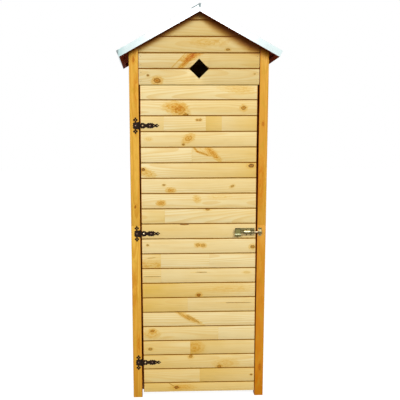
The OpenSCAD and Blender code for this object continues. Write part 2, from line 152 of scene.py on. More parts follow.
class Nodes:
    """One tree of nodes, with short calls for those that a pattern needs."""

    def __init__(self, tree):
        self.tree = tree

    def feed(self, socket, value):
        """Links another node's output to a socket, or sets a plain number on it."""
        if isinstance(value, bpy.types.NodeSocket):
            self.tree.links.new(value, socket)
        else:
            socket.default_value = value

    def node(self, kind, inputs, **settings):
        """A new node of this kind, with its inputs fed and its settings set."""
        made = self.tree.nodes.new("ShaderNode" + kind)
        for name, value in settings.items():
            setattr(made, name, value)
        for name, value in inputs.items():
            self.feed(made.inputs[name], value)
        return made

    def math(self, operation, *values, clamp=False):
        inputs = dict(enumerate(values))
        return self.node("Math", inputs, operation=operation, use_clamp=clamp).outputs[0]

    def add(self, *values):
        return reduce(lambda a, b: self.math("ADD", a, b), values)

    def sub(self, a, b):
        return self.math("SUBTRACT", a, b)

    def mul(self, *values):
        return reduce(lambda a, b: self.math("MULTIPLY", a, b), values)

    def step(self, value, low, high, top=1.0):
        """A smooth step from 0 at low to top at high. Low may be the larger one."""
        inputs = {"Value": value, "From Min": low, "From Max": high, "To Max": top}
        made = self.node("MapRange", inputs, interpolation_type="SMOOTHSTEP")
        return made.outputs["Result"]

    def window(self, value, rise, fall, top=1.0):
        """A smooth rise between two values, and a smooth fall back to 0 between two others."""
        return self.mul(self.step(value, *rise, top), self.step(value, *fall))

    def mix(self, share, a, b, blend="MIX"):
        inputs = {0: share, 6: a, 7: b}
        return self.node("Mix", inputs, data_type="RGBA", blend_type=blend).outputs[2]

    def split(self, vector):
        return self.node("SeparateXYZ", {0: vector}).outputs

    def join(self, x, y, z):
        return self.node("CombineXYZ", {0: x, 1: y, 2: z}).outputs[0]

    def stain(self, colour, *layers):
        """The colour seen through layers of stain and of painted shade: each part times
        exp(-density).

        The density is the sum of tint times amount over the layers.
        """
        total = (0.0, 0.0, 0.0)
        for tint, amount in layers:
            layer = self.node("VectorMath", {0: tint, "Scale": amount}, operation="SCALE")
            total = self.node("VectorMath", {0: total, 1: layer.outputs[0]}).outputs[0]
        parts = [self.math("EXPONENT", self.mul(part, -1.0)) for part in self.split(total)]
        return self.mix(1.0, colour, self.join(*parts), "MULTIPLY")

    def noise(self, vector, scale, detail=2.0, rough=0.5):
        inputs = {"Vector": vector, "Scale": scale, "Detail": detail, "Roughness": rough}
        return self.node("TexNoise", inputs).outputs["Fac"]


print("white is", linear(255, 255, 255))

# %% A finish with its shader
class Finish(Nodes):
    """One material, with its shader at hand."""

    def __init__(self, name):
        self.material = bpy.data.materials.new(name)
        self.material.use_nodes = True
        super().__init__(self.material.node_tree)
        self.shader = self.tree.nodes["Principled BSDF"]

    def number(self, name):
        """A number or a colour that the mesh carries under this name."""
        return self.node("Attribute", {}, attribute_name=name).outputs

    def bump(self, height, distance, strength=0.5):
        made = self.node("Bump", {"Height": height, "Distance": distance, "Strength": strength})
        self.feed(self.shader.inputs["Normal"], made.outputs[0])

    def surface(self, **values):
        """Feeds the shader, and gives back the finished material."""
        for name, value in values.items():
            self.feed(self.shader.inputs[name.replace("_", " ")], value)
        return self.material


print("finishes can be written")

# %% [markdown]
# ## Light and backdrop
# A product is lit softly, so that a colour shows as it is. A white sky gives
# half of the light, and two large soft lamps in front give the rest. The sky
# is pure white only for the camera, for mirrors and for glass: Light Path
# tells these rays apart. The floor glows by the same trick, and still keeps
# the soft shadow of the cabinet.

# %% White sky
SKY, FLOOR_GLOW = 0.26, 0.93


def view_level(f, seen, otherwise):
    """One level for rays of the camera, of a gloss or of a transmission, one for others."""
    ray = f.node("LightPath", {}).outputs
    view = f.math("MAXIMUM", ray["Is Camera Ray"], ray["Is Glossy Ray"])
    view = f.math("MAXIMUM", view, ray["Is Transmission Ray"])
    made = f.node("MapRange", {"Value": view, "To Min": otherwise, "To Max": seen})
    return made.outputs["Result"]


world = scene.world = bpy.data.worlds.new("studio")
world.use_nodes = True
sky = Nodes(world.node_tree)
background = sky.tree.nodes["Background"].inputs
background["Color"].default_value = (1.0, 1.0, 1.0, 1.0)
sky.feed(background["Strength"], view_level(sky, 1.0, SKY))
scene.view_settings.view_transform = "Standard"
print("a white sky gives", SKY, "of the light")

# %% Soft lamps
def soft_lamp(name, place, aim, size, share):
    """A square lamp that adds this share of white to a surface that faces it.

    A square of side a and power P gives a facing surface at a distance r the
    light P / (pi r^2), and white renders that light divided by pi.
    """
    toward = Vector(aim) - Vector(place)
    data = bpy.data.lights.new(name, "AREA")
    data.shape, data.size = "SQUARE", size
    data.energy = share * pi * pi * toward.length_squared
    lamp = add_object(name, data)
    lamp.location = place
    lamp.rotation_euler = toward.to_track_quat("-Z", "Y").to_euler()
    return data.energy


MIDDLE = (0.0, -0.2, 0.9)
key = soft_lamp("key_lamp", (3.9, -9.2, 6.0), MIDDLE, 5.0, 0.6)
fill = soft_lamp("fill_lamp", (-4.9, -8.4, 5.4), MIDDLE, 5.0, 0.34)
print("lamps of", round(key), "W and", round(fill), "W")

# %% Floor
def studio_floor(reach=30.0, grey=0.3):
    """A wide flat square at height zero, nearly white by its own glow."""
    mesh = bpy.data.meshes.new("floor")
    ends = ((-reach, -reach, 0), (reach, -reach, 0), (reach, reach, 0), (-reach, reach, 0))
    mesh.from_pydata(ends, [], [(0, 1, 2, 3)])
    floor = add_object("floor", mesh)
    material = bpy.data.materials.new("floor_white")
    material.use_nodes = True
    f = Nodes(material.node_tree)
    f.tree.nodes.clear()
    matt = f.node("BsdfDiffuse", {"Color": (grey, grey, grey, 1.0)})
    glow = f.node("Emission", {"Strength": view_level(f, FLOOR_GLOW, 0.0)})
    both = f.node("AddShader", {0: matt.outputs[0], 1: glow.outputs[0]})
    f.node("OutputMaterial", {"Surface": both.outputs[0]})
    mesh.materials.append(material)


studio_floor()
print("floor and white backdrop are ready")

# %% [markdown]
# ## The look of sawn pine
# A board is cut out of a trunk. The trunk's growth rings are long, slightly
# tapered tubes, and the saw shows where the board's faces cut them: wide
# flames in the middle of a board and close lines near its edges. So the
# pattern is not painted on a face but worked out in the wood: every point
# carries its place in the board (along, across, deep), and the distance from
# the trunk's core tells which ring it lies in. A knot is a branch that runs
# to the face, and the rings bend around it.
# The board also carries numbers of its own: the place of the core, how deep
# its colour is, and its knots. One finish then serves every board.

# %% Places in a board, and knots
class WoodFinish(Finish):
    """A finish that knows each point's place in its board, from numbers on the mesh."""

    def __init__(self, name):
        super().__init__(name)
        self.along, self.across, self.depth = self.split(self.number("grain")["Vector"])
        self.seed = self.number("seed")["Fac"]
        self.wobble = self.fibres(70.0, 190.0, 0.0, 3.0, 0.6)

    def fibres(self, along, across, shift, detail=2.0, rough=0.5):
        """Noise of these scales along and across the grain. Each shift gives another one."""
        place = self.join(self.mul(self.along, along), self.mul(self.across, across),
                          self.add(self.seed, shift))
        return self.noise(place, 1.0, detail, rough)


def knot_pattern(f, index):
    """Core, rim, glow, warmth and ring bend of one knot or resin streak.

    The distance e is sqrt((ds / stretch)^2 + (dt - lean ds)^2) / radius, a little
    uneven. The core ends at e = 1, where a dark rim lies. Outside, nested arcs
    fade out towards e = 3, and the rings are pushed aside by radius exp(-e^2 / 3).
    """
    place, look = f.number(f"knot{index}"), f.number(f"look{index}")
    s0, t0, radius = f.split(place["Vector"])
    stretch, dark, glow = f.split(look["Vector"])
    ds = f.sub(f.along, s0)
    dt = f.sub(f.sub(f.across, t0), f.mul(ds, place["Alpha"]))
    ds = f.math("DIVIDE", ds, stretch)
    e = f.math("DIVIDE", f.math("SQRT", f.add(f.mul(ds, ds), f.mul(dt, dt))), radius)
    e = f.mul(e, f.math("MULTIPLY_ADD", f.wobble, 0.9, 0.55))
    core = f.mul(f.step(e, 1.1, 0.8), dark)
    rim = f.mul(f.window(e, (0.62, 0.95), (1.4, 1.05)), dark)
    arc = f.math("FRACT", f.add(f.mul(e, 1.15), f.wobble))
    arc = f.window(arc, (0.35, 0.85), (1.0, 0.92))
    halo = f.mul(f.step(e, 2.9, 0.7), glow, f.math("MULTIPLY_ADD", arc, 0.6, 0.35))
    bend = f.mul(f.math("EXPONENT", f.mul(e, e, -0.33)), radius, f.add(dark, 0.5))
    return core, rim, halo, look["Alpha"], bend


print("a knot reaches three times its radius")

# %% Rings and stains
# Stain and painted shade take away red, green and blue by these densities: GOLD and RED are resin,
# the others are painted shade of the eaves, of the door's gaps, of the grooves' lips and of a grey
# veil.
GOLD, RED = (0.27, 0.74, 2.2, 1.0), (0.26, 1.08, 3.2, 1.0)
SHADE_BROWN, GAP_SHADE_RED, LIP_SHADE, VEIL_SHADE_GREY = (0.62, 1.05, 1.9), (0.95, 2.4, 4.4), (0.02, 0.22, 1.5), (1, 1, 1)


def ring_lines(f, marks, ring):
    """1 on the dark line of a growth ring, and 0 between two lines.

    A ring's distance is sqrt(t^2 + d^2) from the trunk's core, a little
    wandering, less the taper times the place along, and knots push it aside.
    """
    core_t, core_d, taper = f.split(f.number("pith")["Vector"])
    wander = f.mul(f.sub(f.fibres(2.2, 9.0, 0.0), 0.5), 16.0 * MM)
    t, d = f.sub(f.across, core_t), f.add(f.depth, core_d)
    reach = f.add(f.math("SQRT", f.add(f.mul(t, t), f.mul(d, d))), wander)
    reach = f.add(f.sub(reach, f.mul(f.along, taper)), *[mark[4] for mark in marks])
    phase = f.math("FRACT", f.math("DIVIDE", reach, ring))
    return f.window(phase, (0.25, 0.88), (1.0, 0.93))


def stains_and_painted_shade(f, marks, fibre, painted_shade_tint, shade_veil):
    """Tints and amounts: resin around the marks, and painted shade of the eaves, of the door's gaps
    and of a grey veil.
    """
    open_to_light = f.number("open")["Fac"]
    shaded = f.math("SUBTRACT", 1.0, open_to_light, clamp=True)
    thick = f.math("MULTIPLY_ADD", fibre, 0.8, 0.6)
    layers = [(f.mix(warmth, GOLD, RED), f.mul(f.add(halo, f.mul(core, 0.5)), thick))
              for core, rim, halo, warmth, bend in marks]
    layers += [(painted_shade_tint, f.mul(shaded, shaded, 2.6)), (GAP_SHADE_RED, f.number("gap")["Fac"])]
    if shade_veil:
        layers.append((VEIL_SHADE_GREY, f.step(open_to_light, 8.0, 4.5, shade_veil)))
    return layers


def painted_groove_shade(f, colour, groove):
    """Painted shade in a groove: darkens its lip and fills its inside, but not the back of the
    board.
    """
    back = (11.6 * MM, 10.8 * MM)
    lip = f.window(f.depth, (0.03 * MM, 0.4 * MM), back)
    inside = f.window(f.depth, (0.9 * MM, 2.6 * MM), back, 0.92)
    return f.mix(inside, f.stain(colour, (LIP_SHADE, lip)), groove)


print("rings, stains and grooves can be drawn")

# %% Wood worked out from its rings
def wood_finish(name, young, late, deep, heart, rough, groove=None, knots=4, ring=5.0 * MM,
                line=0.5, streak=0.35, dirt=0.0, patch=None, shine=0.14, painted_shade_tint=SHADE_BROWN,
                shade_veil=0.0):
    """Rings, fibres, streaks, knots, and grooves darkened by painted shade, from numbers on the
    mesh.

    Resin around a knot works like a stain: the more of it, the less green and
    blue come through, so its colour runs from gold to red brown by itself.
    Painted shade of the eaves, of the door's gaps and of a grey veil darkens it the same way.
    """
    f = WoodFinish(name)
    marks = [knot_pattern(f, k) for k in range(1, knots + 1)]
    dark_ring = ring_lines(f, marks, ring)
    fibre = f.fibres(9.0, 420.0, f.mul(f.depth, 420.0), 3.0, 0.6)
    band, cloud = f.fibres(2.6, 62.0, 31.0), f.fibres(7.0, 16.0, 77.0)

    rings = f.mul(dark_ring, line)
    colour = f.mix(rings, young, late)
    colour = f.mix(f.mul(f.step(band, 0.42, 0.78), streak), colour, late)
    tone = f.number("tone")["Fac"]
    shade = f.math("ADD", tone, f.mul(f.sub(cloud, 0.5), 0.55), clamp=True)
    colour = f.mix(shade, colour, f.mix(f.mul(rings, 0.8), deep, late))
    colour = f.mix(f.step(fibre, 0.5, 0.85, 0.16), colour, heart)
    if patch:
        colour = f.mix(f.step(f.fibres(26.0, 70.0, 9.0, 3.0), 0.45, 0.75, 0.55), colour, patch)
    colour = f.stain(colour, *stains_and_painted_shade(f, marks, fibre, painted_shade_tint, shade_veil))
    for core, rim, halo, warmth, bend in marks:
        colour = f.mix(rim, f.mix(f.mul(core, f.wobble, 0.9), colour, heart), heart)
    if dirt:
        smear = f.fibres(20.0, 30.0, 0.0, 4.0, 0.7)
        colour = f.mix(f.step(smear, 0.5, 0.8, dirt), colour, heart)
    if groove:
        colour = painted_groove_shade(f, colour, groove)

    f.bump(f.add(f.mul(dark_ring, 0.55), f.mul(fibre, 0.45)), 0.25 * MM)
    gloss = f.add(rough - 0.08, f.mul(cloud, 0.16))
    return f.surface(Base_Color=colour, Roughness=gloss, Specular_IOR_Level=shine)


print("one finish serves every board")

# %% Four kinds of wood
# The veil of this pine is a grey painted shade under the eaves.
pine = wood_finish(
    "varnished pine with painted shade", young=linear(246, 226, 170), late=linear(230, 189, 108),
    # The groove colour is painted shade in the grooves.
    deep=linear(227, 187, 88), heart=linear(92, 54, 18), groove=linear(124, 68, 2), rough=0.48,
    shade_veil=0.13,
)
# These posts get painted shade under the eaves and in the door's gap.
post_wood = wood_finish(
    "amber post pine", young=linear(240, 188, 76), late=linear(208, 138, 28),
    deep=linear(208, 122, 4), heart=linear(112, 62, 16), rough=0.46, knots=3, ring=4.2 * MM,
    line=0.6, patch=linear(206, 158, 40), painted_shade_tint=(0.62, 0.9, 1.35),
)
bare_pine = wood_finish(
    "bare sawn pine", young=linear(232, 208, 160), late=linear(208, 170, 112),
    deep=linear(214, 180, 120), heart=linear(110, 66, 34), rough=0.72, knots=2,
    ring=4.6 * MM, line=0.55,
)
# Its tint paints shade on the battens, under the sheet's fold.
roof_wood = wood_finish(
    "dark stained roof pine with painted shade", young=linear(186, 76, 36), late=linear(124, 44, 16),
    deep=linear(110, 38, 14), heart=linear(46, 18, 8), rough=0.8, knots=2,
    ring=6.0 * MM, line=0.7, dirt=0.4, shine=0.05, painted_shade_tint=(1.0, 0.68, 0.58),
)
print("four finishes of wood")

# %% [markdown]
# ## Boards and posts as one kind of surface
# A planed board is its end outline carried along its length. The outline holds
# the rounded arrises and the groove, and near both ends it shrinks a little,
# which rounds the sawn ends. Where the roof or the vent cuts a board, the
# points of the outline are simply held below (or above) the cutting line, and
# points that fall together are merged afterwards.
# A Bevel modifier on a box could round the edges too, but it gives no grooves,
# and it would not know where along the grain each point lies.

# %% Outlines of a board and of a bar
def quarter(centre, radius, start, steps=3):
    """Points on a quarter circle: the centre plus radius times cos and sin."""
    a = radians(start) + np.linspace(0, pi / 2, steps)
    return np.stack([centre[0] + radius * np.cos(a), centre[1] + radius * np.sin(a)], 1)


def bar_outline(width, depth, radius=1.2 * MM, steps=3):
    """A rectangle across by deep with four rounded corners."""
    r = radius
    return np.concatenate([
        quarter((r, r), r, 180, steps), quarter((width - r, r), r, 270, steps),
        quarter((width - r, depth - r), r, 0, steps), quarter((r, depth - r), r, 90, steps),
    ])


HALF_GAP = 2.3 * MM


def board_outline(width, depth, low_gap=HALF_GAP, high_gap=HALF_GAP, radius=1.2 * MM,
                  tongue=3.4 * MM):
    """A board's end: rounded front arrises, a narrow gap, and a tongue behind it.

    The gap is cut back by its half width from the face to the tongue, so that
    two boards meet in a dark line and still close against each other.
    """
    r, b = radius, 0.8 * MM
    lows = [(0.0, depth - b), (0.0, tongue), (low_gap, tongue)] if low_gap else [(0.0, depth - b)]
    highs = [(width - high_gap, tongue), (width, tongue)] if high_gap else []
    return np.concatenate([
        np.array(lows),
        quarter((low_gap + r, r), r, 180), quarter((width - high_gap - r, r), r, 270),
        np.array(highs + [(width, depth - b), (width - b, depth), (b, depth)]),
    ])


print("a board's outline has", len(board_outline(pitch, board_t)), "points")

# %% One length of wood
def length_of_wood(outline, low, high, stops=(), end_round=0.8 * MM, under=None, over=None):
    """Points and faces of an outline carried from low to high along the grain.

    low and high are numbers or functions of (across, deep), for sloping ends.
    under and over give the lowest and highest place across as functions of
    (along, deep), for edges that a roof or an opening cuts.
    """
    t, d = outline.T
    start, end = (place(t, d) if callable(place) else np.full(len(t), place)
                  for place in (low, high))
    angle = np.array([0, pi / 4, pi / 2])
    step, inset = end_round * (1 - np.cos(angle)), end_round * (1 - np.sin(angle))
    middle = [np.full(len(t), stop) for stop in stops]
    s = np.stack([start + k for k in step] + middle + [end - k for k in step[::-1]])
    shrink = np.concatenate([inset, np.zeros(len(middle)), inset[::-1]])[:, None]

    def shrunk(v):
        """The outline drawn in towards its middle by the inset of each row."""
        centre, half = (v.min() + v.max()) / 2, (v.max() - v.min()) / 2
        return centre + (v - centre) * (1 - shrink / half)

    tt, dd = shrunk(t), shrunk(d)
    tt = np.minimum(tt, over(s, dd)) if over else tt
    tt = np.maximum(tt, under(s, dd)) if under else tt
    rows, m = s.shape
    i, j = np.indices((rows - 1, m))
    k = (j + 1) % m
    quads = np.stack([i * m + j, i * m + k, (i + 1) * m + k, (i + 1) * m + j], 2)
    faces = [tuple(q) for q in quads.reshape(-1, 4).tolist()]
    faces += [tuple(range(m))[::-1], tuple(range((rows - 1) * m, rows * m))]
    return np.stack([s, tt, dd], 2).reshape(-1, 3), faces


print("a plain bar has", len(length_of_wood(bar_outline(pitch, board_t), 0, 1)[1]), "faces")

# %% Shade under the eaves
# Places across the cabinet in metres, with the depth of full shade under the eaves
# and the depth in which it fades, in mm.
FULL_SHADE = ((-0.29, -0.28, 0.0, 0.1, 0.24, 0.28, 0.3), (5, 14, 14, 18, 25, 18, 4))
FADING = ((-0.02, 0.06, 0.25, 0.32), (30, 50, 50, 44))


# This openness paints the shade of the eaves into the wood's colour.
def openness(placed):
    """How open to the light wood under the eaves is: 0 in full shade, 1 and more in the open.

    It grows with the distance from the roof, square to the slope, and the
    shade is wider on the right, away from the light.
    """
    away = (under_roof(placed[:, 0]) - placed[:, 2]) * cos(slope)
    full, fading = (np.interp(placed[:, 0], *table) * MM for table in (FULL_SHADE, FADING))
    return (away - full) / fading


print("full shade reaches", max(FULL_SHADE[1]), "mm below the roof")

# %% A stack of lengths that becomes one piece
FAR = 99.0
NO_KNOT = (FAR, FAR, 0.01, 1.0, 0.0, 0.0, 0.0, 0.0)
# Where a board lay in its trunk: the core's place across and behind the face, and the taper.
IN_TRUNK = ((-0.02, 0.09), (0.02, 0.10), (-0.035, 0.035))


class Stack:
    """Collects lengths of wood with their numbers, and turns them into one piece."""

    def __init__(self, seed):
        self.draw = np.random.default_rng(seed)
        self.points, self.faces, self.numbers, self.count = [], [], {}, 0

    def lay(self, wood, origin, axes, tone=(0.0, 0.0), knots=(), knot_slots=4,
            in_trunk=IN_TRUNK, lit=None, gap=None):
        """Puts a length in place: origin + along * axes[0] + across * axes[1] + deep * axes[2].

        tone goes in a straight line from one end to the other. A knot is
        (along, across, radius, stretch, lean, dark, glow, warmth). From the
        points' places in the cabinet, lit gives how open they are to the
        light, and gap how deep they lie in a narrow gap.
        """
        points, faces = wood
        placed = np.array(origin) + points @ np.array(axes, float)
        self.points.append(placed)
        self.faces += [tuple(v + self.count for v in face) for face in faces]
        n = len(points)
        self.count += n
        along = points[:, 0]
        share = (along - along.min()) / max(np.ptp(along), 1e-9)
        core = [self.draw.uniform(*span) for span in in_trunk]
        values = {
            "grain": points, "seed": np.full(n, self.draw.uniform(0, 500)),
            "tone": tone[0] + (tone[1] - tone[0]) * share, "pith": np.tile(core, (n, 1)),
            "open": lit(placed) if lit else np.full(n, FAR),
            "gap": gap(placed) if gap else np.zeros(n),
        }
        marks = [*knots, *[NO_KNOT] * knot_slots][:knot_slots]
        for slot, (s, t, r, stretch, lean, dark, glow, warmth) in enumerate(marks, 1):
            values[f"knot{slot}"] = np.tile((s, t, r, lean), (n, 1))
            values[f"look{slot}"] = np.tile((stretch, dark, glow, warmth), (n, 1))
        for name, value in values.items():
            self.numbers.setdefault(name, []).append(value)

    def chance_knots(self, low, high, width, most):
        """A few knots at random places, some dark and some only a glow."""
        made = []
        for _ in range(self.draw.integers(0, most + 1)):
            radius = self.draw.uniform(3.5, 8.0) * MM
            place = self.draw.uniform(low, high), self.draw.uniform(0.15, 0.85) * width
            spans = ((1.2, 2.0), (-0.2, 0.2), (0.1, 0.85), (0.3, 0.9), (0, 0.6))
            made.append((*place, radius, *[self.draw.uniform(*span) for span in spans]))
        return made

    def lay_by_chance(self, wood, origin, axes, width, most, deepest, change=0.0, knot_slots=2):
        """Lays a length with chance knots, and a chance colour that may change along it."""
        along = wood[0][:, 0]
        knots = self.chance_knots(along.min(), along.max(), width, most)
        tone = self.draw.uniform(0, deepest)
        other = tone + (self.draw.uniform(-change, change) if change else 0.0)
        self.lay(wood, origin, axes, (tone, other), knots, knot_slots)

    def piece(self, name, body, slot, finish, nodes):
        """Makes one piece of all lengths, with their numbers."""
        numbers = {key: np.concatenate(value) for key, value in self.numbers.items()}
        make_piece(name, np.concatenate(self.points), self.faces, body, finish, nodes,
                   numbers)


print("a stack can hold boards")

# %% From arrays to a piece of the cabinet
KINDS = {1: ("FLOAT", "value"), 3: ("FLOAT_VECTOR", "vector"), 4: ("FLOAT_COLOR", "color")}


def open_mesh(mesh, merge):
    """A mesh opened for work, with points that are closer than merge made one."""
    work = bmesh.new()
    work.from_mesh(mesh)
    bmesh.ops.remove_doubles(work, verts=work.verts, dist=merge)
    return work


def write_mesh(work, mesh):
    """Writes the work back into its mesh."""
    work.to_mesh(mesh)
    work.free()


def dress(name, mesh, body, finish, nodes, crease):
    """An object of this mesh, smooth up to the crease angle, riding on its body."""
    mesh.shade_smooth()
    mesh.set_sharp_from_angle(angle=radians(crease))
    mesh.materials.append(finish)
    piece = add_object(name, mesh)
    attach(piece, body)
    if nodes:
        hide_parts(*nodes)
    return piece


def make_piece(name, points, faces, body, finish, nodes=(), numbers=None,
               crease=32.0, closed=True):
    """A mesh with its numbers, merged and turned outwards, as a piece of the cabinet."""
    mesh = bpy.data.meshes.new(name)
    mesh.from_pydata(points.tolist(), [], faces)
    for key, value in (numbers or {}).items():
        kind, field = KINDS[1 if value.ndim == 1 else value.shape[1]]
        mesh.attributes.new(key, kind, "POINT").data.foreach_set(
            field, value.astype(np.float32).ravel())
    work = open_mesh(mesh, 0.004 * MM)
    bmesh.ops.dissolve_degenerate(work, edges=work.edges, dist=0.002 * MM)
    if closed:
        bmesh.ops.recalc_face_normals(work, faces=work.faces)
    write_mesh(work, mesh)
    return dress(name, mesh, body, finish, nodes, crease)


print("lengths of wood can be laid and joined")

# %% [markdown]
# ## Rows of boards
# The boards of the door and of the walls lie level, one above the other, with
# the same pitch. Cheap boards are glued from short pieces, so the colour of a
# row may change at a joint. Each row of the front is written down with its
# joints, its colour from end to end, and its knots. The rows of the sides and
# the back are drawn with seeded random numbers from the same stock.

# %% Helpers for rows
def row_edges(low, high, start):
    """Heights of the seams between low and high that lie a whole pitch from start."""
    first = int(np.ceil((low - start) / pitch + 0.15))
    last = int(np.floor((high - start) / pitch - 0.15))
    return np.concatenate([[low], start + pitch * np.arange(first, last + 1), [high]])


def placed_knots(marks, base, low, high):
    """The marks of a row between two places along it, from mm to the board's own measure."""
    return [
        (x * MM, z * MM - base, r * MM, stretch, lean, dark, glow, *(warmth or [0.25]))
        for x, z, r, stretch, lean, dark, glow, *warmth in marks if low <= x * MM < high
    ]


print("rows lie", round(pitch / MM, 1), "mm apart")

# %% [markdown]
# ## The door
# The leaf has twenty-one rows. The lowest and the highest board are ripped to
# fit. Its upright edges were sawn a little out of square: towards the foot the
# gap at the hinges widens, and the gap at the free edge closes.

# %% Rows of the door, from the foot up
# Each row: joints as (end in mm from the middle, colour at start, colour at end),
# then marks as (across the door, height, radius, stretch, lean, dark, glow) in mm,
# and a last number for the warmth where it is not a quarter. END is past every end.
END = 400
door_rows = [
    ([(END, 0.75, 0.55)],
     [(-112, 50, 6, 1.6, 0, 0.8, 0.5), (-82, 50, 8, 4.0, 0, 0.0, 0.6),
      (-136, 64, 2.5, 5.0, -0.6, 0.4, 0.2)]),
    ([(7, 0.55, 0.42), (END, 0.8, 0.5)], [(268, 111, 3.2, 1.5, 0, 1.0, 0.6)]),
    ([(END, 0.7, 0.3)],
     [(-39, 212, 6, 1.3, 0, 0.5, 0.7), (105, 156, 6, 1.5, 0, 0.5, 0.7),
      (137, 172, 13, 2.4, 0, 0.0, 0.4)]),
    ([(-41, 0.6, 0.35), (END, 0.8, 0.3)],
     [(-242, 253, 6, 1.4, 0, 0.6, 0.3), (-20, 258, 16, 1.5, 0, 0.0, 0.7)]),
    ([(98, 0.42, 0.3), (END, 0.0, 0.0)],
     [(-230, 347, 5.5, 1.7, 0, 0.45, 0.9), (-232, 330, 12, 1.6, 0, 0.0, 0.5)]),
    ([(END, 0.2, 0.0)],
     [(-72, 420, 5, 5.0, -0.62, 0.2, 0.8), (-28, 405, 5.5, 5.0, -0.6, 0.3, 0.8)]),
    ([(-56, 0.85, 0.6), (END, 0.25, 0.3)], [(201, 487, 1.3, 40.0, 0, 0.9, 0.3)]),
    ([(END, 0.95, 0.3)], [(0, 529, 6, 1.5, 0, 0.75, 0.7, 1.0), (150, 560, 10, 6.0, 0, 0.0, 0.25)]),
    ([(-186, 0.35, 0.4), (END, 0.15, 0.15)],
     [(-230, 624, 1.2, 30.0, 0, 0.8, 0.3), (14, 643, 1.3, 18.0, 0, 0.9, 0.4),
      (238, 640, 4, 3.0, 0, 0.1, 0.3)]),
    ([(-186, 0.3, 0.6), (52, 0.08, 0.08), (END, 0.0, 0.0)],
     [(-250, 678, 12, 4.0, 0, 0.0, 0.5), (-235, 716, 2, 8.0, 0.1, 0.3, 0.3)]),
    ([(END, 0.05, 0.15)],
     [(-250, 780, 4, 1.3, 0, 0.7, 0.4), (-5, 779, 6, 1.4, 0, 0.3, 0.9),
      (22, 777, 6, 1.4, 0, 0.3, 0.9), (265, 768, 7, 1.3, 0, 0.7, 0.7)]),
    ([(END, 0.4, 0.3)], [(-68, 881.5, 3.0, 6.0, 0, 1.0, 0.2)]),
    ([(-166, 0.35, 0.5), (END, 0.0, 0.3)], [(42, 955, 5, 1.8, 0, 0.55, 0.6)]),
    ([(END, 0.0, 0.3)],
     [(-183, 985, 7, 1.5, 0, 0.15, 1.3), (-10, 1004, 9, 1.0, -0.2, 0.0, 0.6),
      (100, 1014, 7, 4.0, 0, 0.0, 0.25)]),
    ([(END, 0.0, 0.35)],
     [(-169, 1072, 4, 1.4, 0, 0.6, 0.4), (162, 1065, 4.5, 1.6, 0.3, 0.5, 0.6),
      (-136, 1046, 7, 1.7, 0, 0.1, 1.0, 0.45)]),
    ([(END, 0.0, 0.8)],
     [(-267, 1147, 5, 1.4, 0, 1.0, 0.6), (-252, 1130, 10, 2.2, -0.3, 0.0, 0.7),
      (252, 1162, 7, 1.6, 0, 0.9, 0.6)]),
    ([(-34, 0.08, 0.08), (END, 0.2, 0.6)],
     [(-17, 1241, 3.4, 2.6, -1.0, 0.1, 1.2, 0.1), (20, 1221, 3.0, 6.0, -0.32, 0.2, 1.2, 0.1),
      (68, 1220, 9, 2.2, -0.85, 0.05, 1.1), (34, 1238, 11, 2.6, -0.35, 0.0, 0.3)]),
    ([(END, 0.05, 0.4)],
     [(-50, 1293, 10, 1.4, 0.3, 0.1, 1.0), (-75, 1264, 4, 1.3, 0, 0.8, 0.6),
      (-240, 1290, 5, 2.0, 0, 0.0, 0.4)]),
    ([(-168, 0.3, 0.45), (32, 0.1, 0.3), (108, 0.7, 0.75), (END, 0.15, 0.75)],
     [(-9, 1379, 4, 1.3, 0, 0.6, 0.7), (6, 1379, 4, 1.3, 0, 0.6, 0.7)]),
    ([(END, 0.0, 0.42)],
     [(-118, 1440, 12, 2.2, 0, 0.0, 0.9), (-92, 1424, 14, 1.4, 0, 0.1, 0.9),
      (-62, 1403, 5, 2.0, 0, 0.7, 0.7), (212, 1434, 7.5, 1.2, 0, 0.55, 0.95)]),
    ([(END, 0.1, 0.16)], [(172, 1526, 8, 5.0, 0, 0.0, 0.35), (205, 1508, 6, 5.0, 0, 0.0, 0.25)]),
]
print(len(door_rows), "rows are written down")

# %% Lay the door
# How far each upright edge runs off at the foot, and the height where it starts to.
FREE_EDGE, FREE_Z = 6.0 * MM, 1.15
HINGE_EDGE, HINGE_Z = 2.6 * MM, 0.62
# Where the free gap starts to close, over what height, and how much of its shade goes.
CLOSING_Z, CLOSING_H, CLOSED = 0.9, 0.7, 0.85
# The left front post is wider, so the leaf starts further in.
WIDER = 2.0 * MM
# The worn arris of the leaf, and the rounding of a sawn and of a glued end.
ARRIS, SAWN, GLUED = 2.8 * MM, 0.7 * MM, 0.02 * MM
# The ripped top board, and how far it laps over the leaf's top.
TOP_BOARD, TOP_LAP = 64.1 * MM, 2.4 * MM
leaf_start = leaf_low[0] + WIDER - 0.5 * MM
door_edges = row_edges(foot_z, leaf_top, leaf_top - TOP_BOARD)
door_edges[-1] += TOP_LAP


def run_off(z, start_z):
    """0 above a height, and then evenly up to 1 at the door's foot."""
    return np.clip((start_z - z) / (start_z - foot_z), 0, 1)


def free_edge(z):
    """The free edge of the leaf: straight in its upper part, then outwards to the foot."""
    return leaf_high[0] + FREE_EDGE * run_off(z, FREE_Z) ** 0.7


def leaf_edge(z):
    """The hinge edge of the leaf, which runs a little inwards to the foot."""
    return leaf_start + HINGE_EDGE * run_off(z, HINGE_Z)


# The shade of the door's gaps is painted into the wood's colour by this number.
def in_gap(distance, radius, placed):
    """Shade beside the door's gaps: 1 in the gap, and 0 past the arris, at radius from it.

    The gap at the free edge closes towards the foot, and its shade goes with it.
    """
    closed = np.clip((CLOSING_Z - placed[:, 2]) / CLOSING_H, 0, 1) * (placed[:, 0] > 0)
    return np.clip(1 - distance / radius, 0, 1) * (1 - CLOSED * closed)


def leaf_gap(placed):
    """The shade of both gaps on the leaf's own boards."""
    x, z = placed[:, 0], placed[:, 2]
    return in_gap(np.minimum(free_edge(z) - x, x - leaf_edge(z)), 0.85 * ARRIS, placed)


